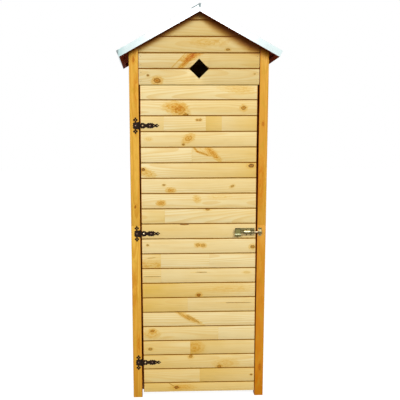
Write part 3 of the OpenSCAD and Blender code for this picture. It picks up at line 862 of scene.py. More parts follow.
door = Stack(11)
for k, (joints, marks) in enumerate(door_rows):
    z0, z1 = door_edges[k], door_edges[k + 1]
    outline = board_outline(z1 - z0, board_t, HALF_GAP if k else 0.0,
                            HALF_GAP if k + 1 < len(door_rows) else 0.0)
    start = lambda t, d: leaf_edge(z0 + t)
    for end, *tones in joints:
        first, last = callable(start), end * MM > leaf_high[0]
        stop = (lambda t, d: free_edge(z0 + t)) if last else end * MM
        inner = [leaf_edge((z0 + z1) / 2) + ARRIS] if first else []
        inner += [free_edge((z0 + z1) / 2) - ARRIS] if last else []
        wood = length_of_wood(outline, start, stop, inner, SAWN if first or last else GLUED)
        knots = placed_knots(marks, z0, -FAR if first else start, FAR if last else end * MM)
        door.lay(wood, (0, front_y, z0), (X, Z, Y), tones, knots, gap=leaf_gap)
        start = end * MM
door.piece("door_leaf_boards", "door", "pine_boards", pine, ["door_leaf"])
print("door of", len(door_rows), "rows")

# %% [markdown]
# ## The front gable and its vent
# Five rows fill the triangle over the door. The two lowest ones share a
# diamond cut on their seam: the upper edge of the one and the lower edge of
# the other follow the diamond, and the roof cuts the ends of the rest.

# %% Rows of the gable
vent_r, RIPPED, BEND_STEP = 46.0 * MM, 2.6 * MM, 30 * MM
GABLE_GAP, FOOT_GAP = 1.35 * HALF_GAP, 0.4 * MM
gable_rows = [
    ([(END, 0.15, 0.4)],
     [(-197, 1560, 9.5, 1.35, 0, 0.5, 0.95, 0.8), (-240, 1584, 3.8, 1.2, 0, 1.0, 0.5),
      (262, 1590, 3, 1.4, 0, 0.4, 0.4)]),
    ([(END, 0.0, 0.7)],
     [(-66, 1640, 7.5, 5.0, 0.95, 0.0, 1.5, 0.25), (-30, 1674, 9, 3.0, 0.4, 0.0, 1.2, 0.6),
      (-98, 1650, 2.0, 14.0, 1.0, 0.0, 0.7, 0.1)]),
    ([(END, 0.35, 0.5)], [(135, 1701, 4.5, 1.7, 0, 0.6, 0.5), (40, 1735, 10, 4.0, 0, 0.0, 0.4)]),
    ([(END, 0.45, 0.5)], []),
    ([(END, 0.5, 0.5)], []),
]


def vent_edge(s):
    """Half the height of the diamond at a place along the boards."""
    return np.clip(vent_r - np.abs(s), 0, None)


def lay_gable(stack, rows, y, deep, first=0, vent=False):
    """The rows of one gable. y is the outer face, and deep points into the cabinet.

    A board reaches to the posts, or to the roof if that comes first, which
    also limits it across. The vent cuts the first row above and the second below.
    """
    for row, (joints, marks) in enumerate(rows, first):
        z0 = gable_z + pitch * row - (RIPPED if row > 1 else 0.0)
        reach = min(post_in, (peak_z - z0 - 2.0 * MM) / fall)
        outline = board_outline(pitch - (RIPPED if row == 1 else 0.0), board_t,
                                low_gap=GABLE_GAP if row else FOOT_GAP)
        cut_from = max((peak_z - z0 - pitch) / fall, 0.0)
        bends = [0.0, cut_from, vent_r] + [n * BEND_STEP for n in range(1, 10)]
        stops = sorted({round(side * x, 6) for x in bends if x < reach - 2 * MM
                        for side in (-1, 1)})
        over, under = (lambda s, d: under_roof(s) - z0), None
        if vent and row == 0:
            over = lambda s, d: pitch - vent_edge(s)
        if vent and row == 1:
            under = lambda s, d: vent_edge(s) - FAR * (np.abs(s) >= vent_r)
        left, right = (WIDER + 0.6 * MM, 1.8 * MM) if reach == post_in else (0.0, 0.0)
        wood = length_of_wood(outline, left - reach, reach - right, stops, 0.5 * MM, under, over)
        stack.lay(wood, (0, y, z0), (X, Z, deep), joints[0][1:],
                  placed_knots(marks, z0, -FAR, FAR), lit=openness)


for name, first, rows in (("lower", 0, gable_rows[:1]), ("upper", 1, gable_rows[1:])):
    gable = Stack(23 + first)
    lay_gable(gable, rows, front_y, Y, first, vent=True)
    gable.piece(f"front_gable_{name}_boards", "cabinet", "pine_boards", pine,
                [f"front_gable_{name}"])
print("front gable of", len(gable_rows), "rows with a vent of", 2 * vent_r / MM, "mm")

# %% [markdown]
# ## Sides and back
# The walls between the posts use the same boards. Their seams line up with
# the joint in the posts. On the sides the highest board is cut by the roof,
# which slopes across its thickness.

# %% Lay the side walls
side_low, side_high = corners("right_wall_lower")
side_reach = side_high[1]


def roof_over_side(d):
    """Height of the roof's lower side at a depth in a side wall."""
    return under_roof(body_side - d)


def lay_wall(name, low, high, seed, half, origin, axes, most, change, stops=(), roof=None):
    """One length of a wall between two heights, with chance knots."""
    stack, edges = Stack(seed), row_edges(low, high, joint_z)
    for z0, z1 in zip(edges[:-1], edges[1:]):
        outline = board_outline(z1 - z0, board_t, low_gap=0.0 if z0 == foot_z else HALF_GAP)
        over = (lambda s, d: roof(d) - z0) if roof else None
        wood = length_of_wood(outline, -half, half, stops, 0.4 * MM, over=over)
        stack.lay_by_chance(wood, origin + z0 * Z, axes, z1 - z0, most, 0.75, change, 4)
    stack.piece(name + "_boards", "cabinet", "pine_boards", pine, [name])
    return len(edges) - 1


rows = 0
side_parts = (("lower", foot_z, joint_z, 31), ("upper", joint_z, under_roof(side_low[0]), 41))
for k, (word, side) in enumerate(SIDES):
    for part, low, high, seed in side_parts:
        rows += lay_wall(f"{word}_wall_{part}", low, high, seed + k, side_reach,
                         side * body_side * X, (Y, Z, -side * X), 3, 0.15, roof=roof_over_side)
print("side walls of", rows, "rows")

# %% Lay the back wall and its gable
for part, low, high, seed in (("lower", foot_z, joint_z, 51), ("upper", joint_z, gable_z, 52)):
    lay_wall(f"back_wall_{part}", low, high, seed, post_in, -front_y * Y, (X, Z, -Y), 4, 0.2,
             stops=(0.0,))
back_gable = Stack(53)
plain_rows = []
for k in range(5):
    tone = back_gable.draw.uniform(0.1, 0.6)
    marks = [(float(back_gable.draw.uniform(-180, 180)), (gable_z + (k + 0.5) * pitch) / MM,
              6, 1.5, 0, 0.5, 0.6)] if k < 3 else []
    plain_rows.append(([(END, tone, tone)], marks))
lay_gable(back_gable, plain_rows, -front_y, -Y)
back_gable.piece("back_gable_boards", "cabinet", "pine_boards", pine, ["back_gable"])
print("back wall and gable")

# %% [markdown]
# ## Posts
# Each corner post is planed square with softly rounded arrises and is made of
# two lengths, butted together at half height. The upper lengths are cut to
# the roof's slope. The posts are coloured darker towards the foot and on the right.

# %% Lay the posts
# A mark: (height in m, across, radius, stretch, lean, dark, glow). Tones run upwards.
post_marks = {
    ("left", "upper"): [(0.968, 0.022, 0.004, 1.6, 0.0, 0.75, 0.5),
                        (1.655, 0.022, 0.004, 2.5, 0.0, 0.3, 0.7),
                        (1.52, 0.030, 0.006, 6.0, 0.0, 0.0, 0.3)],
    ("left", "lower"): [(0.55, 0.012, 0.007, 9.0, 0.02, 0.0, 0.25),
                        (0.28, 0.030, 0.005, 5.0, 0.0, 0.1, 0.5)],
    ("right", "upper"): [(1.36, 0.020, 0.004, 2.0, 0.0, 0.3, 0.6),
                         (1.08, 0.012, 0.010, 6.0, 0.03, 0.0, 0.6)],
    ("right", "lower"): [(0.62, 0.018, 0.010, 8.0, 0.0, 0.0, 0.2),
                         (0.15, 0.026, 0.005, 3.0, 0.0, 0.3, 0.5)],
}
post_tones = {("left", "lower"): (0.36, 0.0), ("left", "upper"): (0.12, 0.1),
              ("right", "lower"): (1.0, 0.45), ("right", "upper"): (0.4, 0.25)}
POST_ROUND, POST_WARMTH = 2.4 * MM, 0.5
POST_IN_TRUNK = ((-0.01, 0.05), (0.02, 0.05), (-0.02, 0.02))


def post_gap(edge):
    """The shade of the door's gap on a post whose inner edge is at this place."""
    return lambda placed: in_gap(np.abs(placed[:, 0]) - edge, POST_ROUND, placed)


lengths = product(("front", "back"), SIDES, ("lower", "upper"))
for seed, (row, (word, side), part) in enumerate(lengths, 61):
    post, front, lower = Stack(seed), row == "front", part == "lower"
    edge = post_in - (WIDER if front and side < 0 else 0.0)
    inner = edge if side > 0 else -body_side
    deep = Y if front else -Y
    low = 0.0 if lower else joint_z
    high = joint_z if lower else lambda t, d: under_roof(inner + t)
    stops = np.linspace(low, 0.7 if lower else 1.62, 5)[1:]
    outline = bar_outline(body_side - edge, post_w, POST_ROUND, 4)
    wood = length_of_wood(outline, low, high, stops, 0.9 * MM)
    knots = [(*mark, POST_WARMTH) for mark in post_marks[word, part]] if front else []
    post.lay(wood, inner * X + front_y * deep, (Z, X, deep), post_tones[word, part], knots, 3,
             POST_IN_TRUNK, openness, post_gap(edge) if front else None)
    node = f"post_{row}_{word}_{part}"
    post.piece(node + "_timber", "cabinet", "pine_posts", post_wood, [node])
print("eight lengths of post")

# %% [markdown]
# ## Wood inside
# Behind the boards stand the cleats that they are nailed to, the rails, the
# ledges of the door, and the floor on its bearers. They are left bare, and
# show through the open door.

# %% Lay cleats, rails, ledges and bearers
# The direction of each node's bars, and whether the roof cuts them.
bar_nodes = {
    "head_rail": ("x", False), "front_gable_cleats": ("z", True),
    "left_wall_cleats": ("z", True), "right_wall_cleats": ("z", True),
    "back_wall_cleats": ("z", True), "left_top_rail": ("y", True),
    "right_top_rail": ("y", True), "ridge_beam": ("y", True),
    "floor_bearers": ("x", False), "door_ledges": ("z", False),
}
# Which of X, Y and Z a bar has along, across and deep.
BAR_AXES = {"x": [0, 2, 1], "y": [1, 2, 0], "z": [2, 0, 1]}


def islands(node):
    """The separate solids of a node, as pairs of lowest and highest corners."""
    work = open_mesh(frame["nodes"][node].data, 0.01 * MM)
    left, found = set(work.verts), []
    while left:
        group, edge = set(), [left.pop()]
        while edge:
            vert = edge.pop()
            group.add(vert)
            near = {link.other_vert(vert) for link in vert.link_edges} & left
            left -= near
            edge += near
        points = np.array([v.co for v in group])
        found.append((points.min(0), points.max(0)))
    work.free()
    return sorted(found, key=lambda pair: tuple(np.round(pair[0], 4)))


def bare_bars(node, body, seed, axis, cut_by_roof, radius):
    """Every solid of a node as a rounded bar along X, Y or Z."""
    stack, (a, b, c) = Stack(seed), BAR_AXES[axis]
    for low, high in islands(node):
        size, end, over = high - low, high[a], None
        if cut_by_roof and axis == "z":
            end = lambda t, d: under_roof(low[0] + t)
        elif cut_by_roof:
            over = lambda s, d: under_roof(low[0] + d) - low[2]
        wood = length_of_wood(bar_outline(size[b], size[c], radius), low[a], end, over=over)
        stack.lay_by_chance(wood, np.where(np.arange(3) == a, 0, low), np.eye(3)[[a, b, c]],
                            min(size), 2 if max(size) > 0.3 else 0, 0.5)
    one, plural = node.rstrip("s"), "s" if node.endswith("s") else ""
    stack.piece(f"{one}_timber{plural}", body, "pine_inside", bare_pine, [node])


for seed, (node, (axis, cut_by_roof)) in enumerate(bar_nodes.items(), 71):
    body, radius = ("door", 2.0 * MM) if node == "door_ledges" else ("cabinet", 1.2 * MM)
    bare_bars(node, body, seed, axis, cut_by_roof, radius)
print("cleats, rails, ledges and bearers")

# %% [markdown]
# ## The floor
# The floor is made of level boards that run from side to side. It is as wide
# as the room between the walls, and narrower beside the posts and cleats. The
# seams are placed at these steps, so that every board keeps straight ends.

# %% Lay the floor boards
def node_points(node):
    """The points of a solid, as an array with three columns."""
    return np.array([v.co for v in frame["nodes"][node].data.vertices])


floor_low, floor_high = corners("floor_panel")
floor_points = node_points("floor_panel")
floor_steps = np.unique(np.round(floor_points[:, 1], 4))
floor = Stack(81)
for y0, y1 in zip(floor_steps[:-1], floor_steps[1:]):
    middle = (y0 + y1) / 2
    reach = max(
        x for x in np.unique(np.round(floor_points[:, 0], 4))
        if np.ptp(np.sign(floor_points[np.abs(floor_points[:, 0] - x) < 1e-4, 1] - middle)) > 1
    )
    seams = np.linspace(y0, y1, int(np.ceil((y1 - y0) / pitch)) + 1)
    for low, high in zip(seams[:-1], seams[1:]):
        outline = bar_outline(high - low, floor_high[2] - floor_low[2], 0.9 * MM)
        floor.lay_by_chance(length_of_wood(outline, -reach, reach), (0, low, floor_high[2]),
                            (X, Y, -Z), high - low, 2, 0.6)
floor.piece("floor_boards", "cabinet", "pine_inside", bare_pine, ["floor_panel"])
print("floor between", np.round(floor_steps / MM, 1))

# %% [markdown]
# ## The roof's woodwork
# Each slope has six boards along the ridge, stained dark, and battens under
# its edges that the sheet is folded around. A place on a slope is told by the
# way down from the ridge, and by the depth square to the slope. At the ridge
# the two slopes meet in an upright plane, which takes the depth times the
# slope's tangent off every board that ends there.

# %% Measures of a slope
sheet_low, sheet_high = corners("roof_sheet_right")
deck_high, batten_low = corners("roof_board_right")[1], corners("roof_battens_right")[0]
ridge_z, verge_l, verge_y = sheet_high[2], sheet_high[1], deck_high[1]
ridge = ridge_z * Z
eave_l = sheet_high[0] / cos(slope)
sheet_t = (ridge_z - deck_high[2]) * cos(slope)
deck_t = (ridge_z - peak_z) * cos(slope) - 0.2 * MM
lip_h = (ridge_z - sheet_high[0] * fall - sheet_low[2]) / cos(slope)
batten_h = (ridge_z - batten_low[2] - (eave_l - sheet_t) * sin(slope)) / cos(slope)
deck_l, batten_w = eave_l - sheet_t, 20.0 * MM


def slope_axes(side):
    """Down the slope, and outwards square to the slope."""
    down = np.array([side * cos(slope), 0, -sin(slope)])
    return down, np.array([side * sin(slope), 0, cos(slope)])


print("slope", *[f"{word} {float(value / MM):.2f} mm," for word, value in (
    ("of", eave_l), ("sheet", sheet_t), ("boards down to", deck_t), ("battens to", batten_h),
    ("fold to", lip_h))])

# %% Lay the roof boards and battens
BOARDS_PER_SLOPE, ROOF_GAP, DEEP_SHADE = 6, 1.2 * MM, 9 * MM


def lay_deck(word, side):
    """The boards of one slope, the highest one cut upright at the ridge."""
    down, outward = slope_axes(side)
    stack = Stack(90 + side)
    edges = np.linspace(0, deck_l, BOARDS_PER_SLOPE + 1)
    for k, (a0, a1) in enumerate(zip(edges[:-1], edges[1:])):
        outline = board_outline(a1 - a0, deck_t - sheet_t, ROOF_GAP if k else 0.0,
                                ROOF_GAP if k + 1 < BOARDS_PER_SLOPE else 0.0)
        mitre = None if k else lambda s, d: (deck_t - d) * tan(slope)
        wood = length_of_wood(outline, -verge_y, verge_y, (), 0.4 * MM, under=mitre)
        stack.lay_by_chance(wood, ridge - deck_t * outward + a0 * down, (Y, down, outward),
                            a1 - a0, 2, 0.8)
    stack.piece(f"roof_board_{word}_boards", "cabinet", "roof_wood", roof_wood,
                [f"roof_board_{word}"])


def lay_battens(word, side):
    """A batten under each verge, darker the higher it goes by painted shade under the sheet's fold,
    and one under the eave.
    """
    down, outward = slope_axes(side)
    battens, thick = Stack(95 + side), batten_h - deck_t
    foot = ridge - batten_h * outward
    outline = bar_outline(batten_w, thick)
    mitre = lambda t, d: (batten_h - d) * tan(slope)
    shade = lambda placed: (thick - (placed - foot) @ outward) / DEEP_SHADE
    for y in (-verge_y, verge_y - batten_w):
        wood = length_of_wood(outline, mitre, deck_l, (), 0.6 * MM)
        battens.lay(wood, foot + y * Y, (down, Y, outward), (0.5, 0.7), knot_slots=2, lit=shade)
    reach = verge_y - batten_w - 1.2 * MM
    wood = length_of_wood(outline, -reach, reach, (), 0.6 * MM)
    battens.lay(wood, foot + (deck_l - batten_w) * down, (Y, down, outward), (0.6, 0.6),
                knot_slots=2)
    battens.piece(f"roof_batten_{word}_bars", "cabinet", "roof_wood", roof_wood,
                  [f"roof_battens_{word}"])


for word, side in SIDES:
    lay_deck(word, side)
    lay_battens(word, side)
print("roof boards and battens")

# %% [markdown]
# ## Bent zinc sheets
# A sheet is folded down along both verges and along the eave. It is a surface
# of two parameters: the way down the slope and the way along the ridge. Each
# of them runs flat, turns a small quarter circle, and goes down. The corner
# where both folds meet is cut out of a real sheet, and here too. A flat sheet
# never stays quite flat, so it is pushed inwards by up to a third of a
# millimetre in long soft waves. Solidify then gives the thickness.

# %% Bent surfaces
def fold(length, radius, drop, both=False):
    """Place and drop along a strip that is folded down at its end, or at both.

    Flat up to the radius, a quarter circle, then straight down to the drop.
    """
    a = np.linspace(0, pi / 2, 5)[1:]
    down = np.linspace(radius, drop, 4)[1:]
    place = np.concatenate([length - radius + radius * np.sin(a), np.full(len(down), length)])
    depth = np.concatenate([radius * (1 - np.cos(a)), down])
    flat = np.linspace(radius - length if both else 0, length - radius, 25 if both else 19)
    places, depths = [flat, place], [np.zeros(len(flat)), depth]
    if both:
        places, depths = [-place[::-1], *places], [depth[::-1], *depths]
    return np.concatenate(places), np.concatenate(depths)


def grid_faces(rows, columns, keep=None):
    """Quads between neighbours of a grid, or only those that keep marks."""
    i, j = np.indices((rows - 1, columns - 1))
    first = i * columns + j
    quads = np.stack([first, first + 1, first + columns + 1, first + columns], 2)
    return quads[keep] if keep is not None else quads.reshape(-1, 4)


def bent_sheet(name, points, faces, node, thickness):
    """A piece of zinc from a bent surface, with its thickness towards the inside.

    The sheet's open edges are marked as sharp first, so that the narrow rim
    is not shaded as if it were a part of the flat.
    """
    piece = make_piece(name, points, faces.tolist(), "cabinet", zinc, [node],
                       crease=50, closed=False)
    work = bmesh.new()
    work.from_mesh(piece.data)
    for edge in work.edges:
        edge.smooth = edge.smooth and not edge.is_boundary
    write_mesh(work, piece.data)
    wall = piece.modifiers.new("sheet", "SOLIDIFY")
    wall.thickness, wall.offset, wall.use_even_offset = thickness, -1.0, True


print("a fold has", len(fold(eave_l, 1.6 * MM, lip_h)[0]), "places")

# %% The look of the zinc
def zinc_finish(name):
    """Galvanised sheet: bright metal, a faint pattern of crystals and dull clouds.

    The upright folds of the verges carry painted shade: greyer and duller the
    nearer they lie to the eaves. What lies in front of them, the cap's cut ends
    and the strip under them, is dull grey, a painted shadow line, and so is the
    front corner of the left eave, a painted shadow.
    """
    f = Finish(name)
    place = f.node("TexCoord", {}).outputs["Object"]
    crystal = f.node("TexVoronoi", {"Vector": place, "Scale": 55.0}).outputs["Color"]
    grain, cloud = f.split(crystal)[0], f.noise(place, 5.0, 3.0)
    colour = f.mix(f.mul(grain, 0.35), linear(233, 240, 242), linear(212, 222, 227))
    colour = f.mix(f.step(cloud, 0.45, 0.8, 0.35), colour, linear(196, 206, 212))
    x, y, z = f.split(place)
    off_middle = f.math("ABSOLUTE", y)
    fold_face = f.step(off_middle, verge_l - 1.0 * MM, verge_l - 0.4 * MM)
    # Painted shade on the upright folds, greyer towards the eaves and most at the left end.
    fold_shade = f.mul(fold_face, f.step(f.math("ABSOLUTE", x), 0.08, 0.34))
    low_end_shade = f.mul(fold_face, f.step(x, -0.335, -0.37))
    colour = f.mix(fold_shade, colour, f.mix(low_end_shade, linear(213, 227, 226), linear(188, 212, 211)))
    # Painted shadow lines in dull grey: the cap's cut ends and the strip in front of the left fold,
    # and the front corner of the left eave.
    cap_edge_shadow = f.step(off_middle, verge_l + 0.2 * MM, verge_l + 0.5 * MM)
    corner = f.mul(f.step(x, -0.372, -0.377), f.step(y, -verge_l + 9 * MM, -verge_l + 3 * MM))
    dull = f.math("MAXIMUM", cap_edge_shadow, corner)
    colour = f.mix(dull, colour, linear(138, 150, 150))
    dull = f.math("MAXIMUM", dull, fold_shade)
    f.bump(f.noise(place, 30.0, 2.0), 0.3 * MM, 0.25)
    gloss = f.add(f.add(f.mul(grain, 0.08), f.mul(cloud, 0.14)), f.mul(dull, 0.3), 0.3)
    shine = f.math("MULTIPLY_ADD", dull, -0.7, 0.92)
    return f.surface(Base_Color=colour, Metallic=shine, Roughness=gloss)


zinc = zinc_finish("galvanised sheet with painted shade")
print("zinc is bright in the middle and dull near the eaves")

# %% Fold the sheets
SHEET_FOLD, CORNER = 1.6 * MM, 1.5 * MM
WAVE, LIP_WAVE, STILL_EDGE = 0.15 * MM, 0.3 * MM, 20 * MM


def sheet_surface(side):
    """Points and faces of one slope's sheet, with soft waves and the corners cut out."""
    down, outward = slope_axes(side)
    (a, drop_a), (y, drop_y) = (fold(eave_l, SHEET_FOLD, lip_h),
                                fold(verge_l, SHEET_FOLD, lip_h, both=True))
    column, drop = a[:, None], drop_a[:, None] + drop_y
    wave = WAVE * (np.sin(column * 23 + 1.0) * np.sin(y * 17 + side) + 1)
    still = np.minimum(1, (verge_l - np.abs(y)) / STILL_EDGE)
    depth = drop + np.where(drop == 0, wave * still, 0)
    way = column + drop_y * tan(slope) * (1 - column / eave_l)
    lip_wave = LIP_WAVE * np.sin(column * 31 + side) ** 2
    along = y - np.sign(y) * np.clip(drop_y / lip_h, 0, 1) * lip_wave
    points = ridge + way[..., None] * down + along[..., None] * Y - depth[..., None] * outward
    bent_a = drop_a[:-1] >= CORNER
    bent_y = np.minimum(drop_y[:-1], drop_y[1:]) >= CORNER
    faces = grid_faces(len(a), len(y), ~(bent_a[:, None] & bent_y))
    return points.reshape(-1, 3), faces[:, ::-1] if side > 0 else faces


for word, side in SIDES:
    bent_sheet(f"roof_sheet_{word}_fold", *sheet_surface(side), f"roof_sheet_{word}", sheet_t)
print("two sheets folded down by", round(float(lip_h / MM), 1), "mm")

# %% Bend the ridge cap
cap_high = corners("ridge_cap")[1]
cap_t = (cap_high[2] - ridge_z) * cos(slope)
cap_reach, tab_reach = cap_high[0] / cos(slope), 5.0 * MM / cos(slope)
TAB_H, CAP_FOLD, SOFT = 18.0 * MM, 1.0 * MM, 1.2 * MM


def cap_surface():
    """A strip over the ridge, rounded where it turns, with a tab at each end.

    Across, the place runs along one slope, round the ridge and along the
    other. Along the ridge it is flat, and turns down only between the tabs.
    """
    p = np.unique(np.concatenate([
        np.linspace(-cap_reach, -tab_reach, 5), np.linspace(-tab_reach, tab_reach, 13),
        np.linspace(tab_reach, cap_reach, 5)]).round(7))
    bow = np.sqrt(p ** 2 + SOFT ** 2) - SOFT
    y, drop = fold(cap_high[1], CAP_FOLD, TAB_H, both=True)
    z = cap_high[2] - (bow * sin(slope))[:, None] - drop
    x, y_all = np.broadcast_arrays((p * cos(slope))[:, None], y)
    inside = np.maximum(np.abs(p[:-1]), np.abs(p[1:])) <= tab_reach + 1e-6
    flat = np.maximum(drop[:-1], drop[1:]) == 0
    faces = grid_faces(len(p), len(y), inside[:, None] | flat)
    return np.stack([x, y_all, z], 2).reshape(-1, 3), faces[:, ::-1]


bent_sheet("ridge_cap_strip", *cap_surface(), "ridge_cap", cap_t)
# A thin strip of zinc in front of the left fold under the cap's end, dull grey as a painted shadow
# line along the cap's edge.
down, outward = slope_axes(-1)
points, faces = length_of_wood(bar_outline(4.4 * MM, cap_t, 0.25 * MM), 4 * MM, 46 * MM,
                               end_round=0.3 * MM)
hem = ridge - (verge_l + cap_t) * Y + points @ np.array([down, -outward, Y])
make_piece("ridge_cap_hem", hem, faces, "cabinet", zinc)
print("ridge cap of", round(float(cap_t / MM), 2), "mm sheet")

# %% [markdown]
# ## Nails
# Each board is nailed to the cleats near both of its ends. There are hundreds
# of nails, so one nail is a low dome of two dozen faces, and all copies of a
# wall are made at once: the template's points are turned and added to every
# place in a single sum.

# %% Nail heads
def dome(radius, height, sides=8):
    """A low domed head: a middle point, a ring on top, one at the rim and one in the wood."""
    a = np.linspace(0, 2 * pi, sides, endpoint=False)
    rings = [(0.62 * radius, height), (radius, 0.45 * height), (radius, -0.5 * MM)]
    points = np.concatenate([[(0, 0, height * 1.15)]] + [
        np.stack([r * np.cos(a), r * np.sin(a), np.full(sides, h)], 1) for r, h in rings])
    turns = [(k, (k + 1) % sides) for k in range(sides)]
    faces = [(0, 1 + i, 1 + j) for i, j in turns]
    for base in (1, 1 + sides):
        faces += [(base + i, base + sides + i, base + sides + j, base + j) for i, j in turns]
    faces.append(tuple(range(1 + 2 * sides, 1 + 3 * sides))[::-1])
    return points, faces


def put_heads(name, head, places, turn, body, finish, crease=32.0):
    """Copies of a head at many places. turn holds the images of its three axes."""
    points, faces = head
    everything = np.array(places)[:, None, :] + (points @ np.array(turn, float))[None]
    copies = [tuple(v + len(points) * k for v in face)
              for k in range(len(places)) for face in faces]
    make_piece(name, everything.reshape(-1, 3), copies, body, finish, crease=crease)


print("heads can be copied to many places")

# %% The look of metal and paint
def metal_finish(name, base, tint, rough, metallic, grime=0.3, shine=0.5, coat=0.0, colour_and_light_zones=(),
                 scale=60.0):
    """Metal or paint with clouds of a second tint and a little roughness of its own.

    A zone is (low, high, colour), in mm: a box of the cabinet with its own colour; the zones of the
    latch paint highlights and shade.
    None leaves a side of the box open.
    """
    f = Finish(name)
    place = f.node("TexCoord", {}).outputs["Object"]
    cloud, fine = f.noise(place, scale, 3.0, 0.6), f.noise(place, 900.0, 2.0, 0.6)
    colour = f.mix(f.step(cloud, 0.35, 0.7), base, tint)
    for low, high, other in colour_and_light_zones:
        inside = f.step(cloud, 0.1, 0.5, 0.92)
        for value, a, b in zip(f.split(place), low, high):
            for limit, way in ((a, 0.4), (b, -0.4)):
                if limit is not None:
                    edge = f.step(value, (limit - way) * MM, (limit + way) * MM)
                    inside = f.mul(inside, edge)
        colour = f.mix(inside, colour, other)
    dull = tuple(0.35 * c for c in base[:3]) + (1.0,)
    colour = f.mix(f.step(f.noise(place, 3.0 * scale, 3.0, 0.7), 0.5, 0.8, grime), colour, dull)
    f.bump(f.add(fine, f.mul(cloud, 0.5)), 0.12 * MM, 0.35)
    gloss = f.add(rough - 0.08, f.mul(cloud, 0.16))
    return f.surface(Base_Color=colour, Metallic=metallic, Roughness=gloss,
                     Specular_IOR_Level=shine, Coat_Weight=coat, Coat_Roughness=0.15)


nail_steel = metal_finish("nail steel", linear(120, 104, 84), linear(92, 74, 54), 0.45, 0.7)
print("steel for the nails")

# %% Drive the nails
EDGE_IN, FRONT_IN, PROUD = 9.0 * MM, 13.0 * MM, 0.1 * MM
nail = dome(1.5 * MM, 0.35 * MM)


def in_rows(base, shares):
    """Heights above a base that lie at these shares of the pitch."""
    return [base + share * pitch for share in shares]


def mirrored(reach, heights):
    """A place on each side of the middle, at every height."""
    return [(sign * reach, z) for z in heights for sign in (-1, 1)]


row_z = [z for z0 in np.arange(foot_z, 1.68, pitch) for z in in_rows(z0, (0.28, 0.72))]
back_z = [z for z in row_z if z < gable_z] + in_rows(gable_z, (0.28, 0.72, 1.28, 1.72))
front_z = in_rows(gable_z, (0.24, 0.76, 1.24, 1.76))
nailed = [
    (f"{word}_wall_nails", (Y, Z, side * X),
     [(side * (body_side + PROUD), y, z) for y, z in mirrored(side_reach - EDGE_IN, row_z)])
    for word, side in SIDES
] + [
    ("back_wall_nails", (Z, X, Y),
     [(x, -front_y + PROUD, z) for x, z in mirrored(post_in - EDGE_IN, back_z)]),
    ("front_gable_nails", (X, Z, -Y),
     [(x, front_y - PROUD, z) for x, z in mirrored(post_in - FRONT_IN, front_z)]),
]
for name, turn, places in nailed:
    put_heads(name, nail, places, turn, "cabinet", nail_steel)
print("nails:", sum(len(places) for name, turn, places in nailed))

# %% [markdown]
# ## Screws with a cross recess
# The hinges and the bolt are screwed on. A screw's head is a dome over a
# square grid that is drawn out to a disc, because on a square grid the four
# arms of the recess follow the grid's own lines and stay crisp.

# %% Screw heads
def screw_head(radius, height, steps=18):
    """A domed head with a cross recess.

    A grid point (x, y) of the square goes to x sqrt(1 - y^2/2), y sqrt(1 - x^2/2)
    on the disc. Its height is height * (1 - 3/4 distance^2), less the recess where
    |x| or |y| is small and neither is much over a half.
    """
    n = steps + 1
    x, y = np.meshgrid(*[np.linspace(-1, 1, n)] * 2, indexing="ij")
    u, v = x * np.sqrt(1 - y ** 2 / 2), y * np.sqrt(1 - x ** 2 / 2)
    h = height * (1 - 0.75 * np.hypot(u, v) ** 2)
    arm = (np.minimum(np.abs(x), np.abs(y)) < 0.13) & (np.maximum(np.abs(x), np.abs(y)) < 0.52)
    h = np.where(arm, h - 0.75 * height, h)
    top = np.stack([radius * u, radius * v, h], 2).reshape(-1, 3)
    index = np.arange(n * n).reshape(n, n)
    ring = np.concatenate([index[0], index[1:, -1], index[-1, -2::-1], index[-2:0:-1, 0]])
    rim = len(top) + np.arange(len(ring))
    skirt = np.stack([ring, np.roll(ring, -1), np.roll(rim, -1), rim], 1)
    faces = [tuple(q) for q in np.concatenate([grid_faces(n, n), skirt]).tolist()]
    faces.append(tuple(rim.tolist()))
    return np.concatenate([top, top[ring] * (1, 1, 0) - (0, 0, 0.8 * MM)]), faces


def face_plane(node):
    """The depth of a fitting's flat front: where most of its points in front lie."""
    y = np.round(node_points(node)[:, 1], 5)
    values, counts = np.unique(y[y < front_y - 0.5 * MM], return_counts=True)
    return float(values[counts.argmax()])


def middle(node):
    """The middle of a solid's box."""
    return np.mean(corners(node), axis=0)


HINGES = ("top", "middle", "bottom")
hinge_x, hinge_face = frame["joints"][0]["pos_m"][0], face_plane("hinge_plate_middle")
hinge_z = [middle(f"hinge_strap_{word}")[2] for word in HINGES]
bolt_face, bolt_z = face_plane("bolt_plate"), middle("bolt_plate")[2]
keeper_x = middle("bolt_keeper")[0]
print("hinges at heights", np.round(np.array(hinge_z) / MM, 1))
print("bolt at height", round(float(bolt_z / MM), 1))

# %% Drive the screws
dark_screw = metal_finish("browned screw", linear(150, 118, 100), linear(96, 72, 56), 0.35, 0.8)
tan_screw = metal_finish("yellow screw", linear(222, 200, 160), linear(190, 160, 110), 0.35, 0.75)
small_head = screw_head(3.1 * MM, 1.1 * MM)


def put_screws(name, places, body, finish):
    """Screws at these places, all facing out of the front."""
    put_heads(name, small_head, places, (X, Z, -Y), body, finish, crease=38)


for word, x, body, finish in (("post", -18.5, "cabinet", dark_screw),
                              ("near", 15, "door", tan_screw), ("far", 50, "door", dark_screw)):
    places = [(hinge_x + x * MM, hinge_face, z) for z in hinge_z]
    put_screws(f"hinge_{word}_screws", places, body, finish)
print("screws in three hinges")

# %% [markdown]
# ## Hinges and bolt
# The solid model already has the true outlines of the iron, with every hole.
# A copy of each fitting is merged into clean faces, and a narrow bevel breaks
# its edges the way powder paint or plating does.

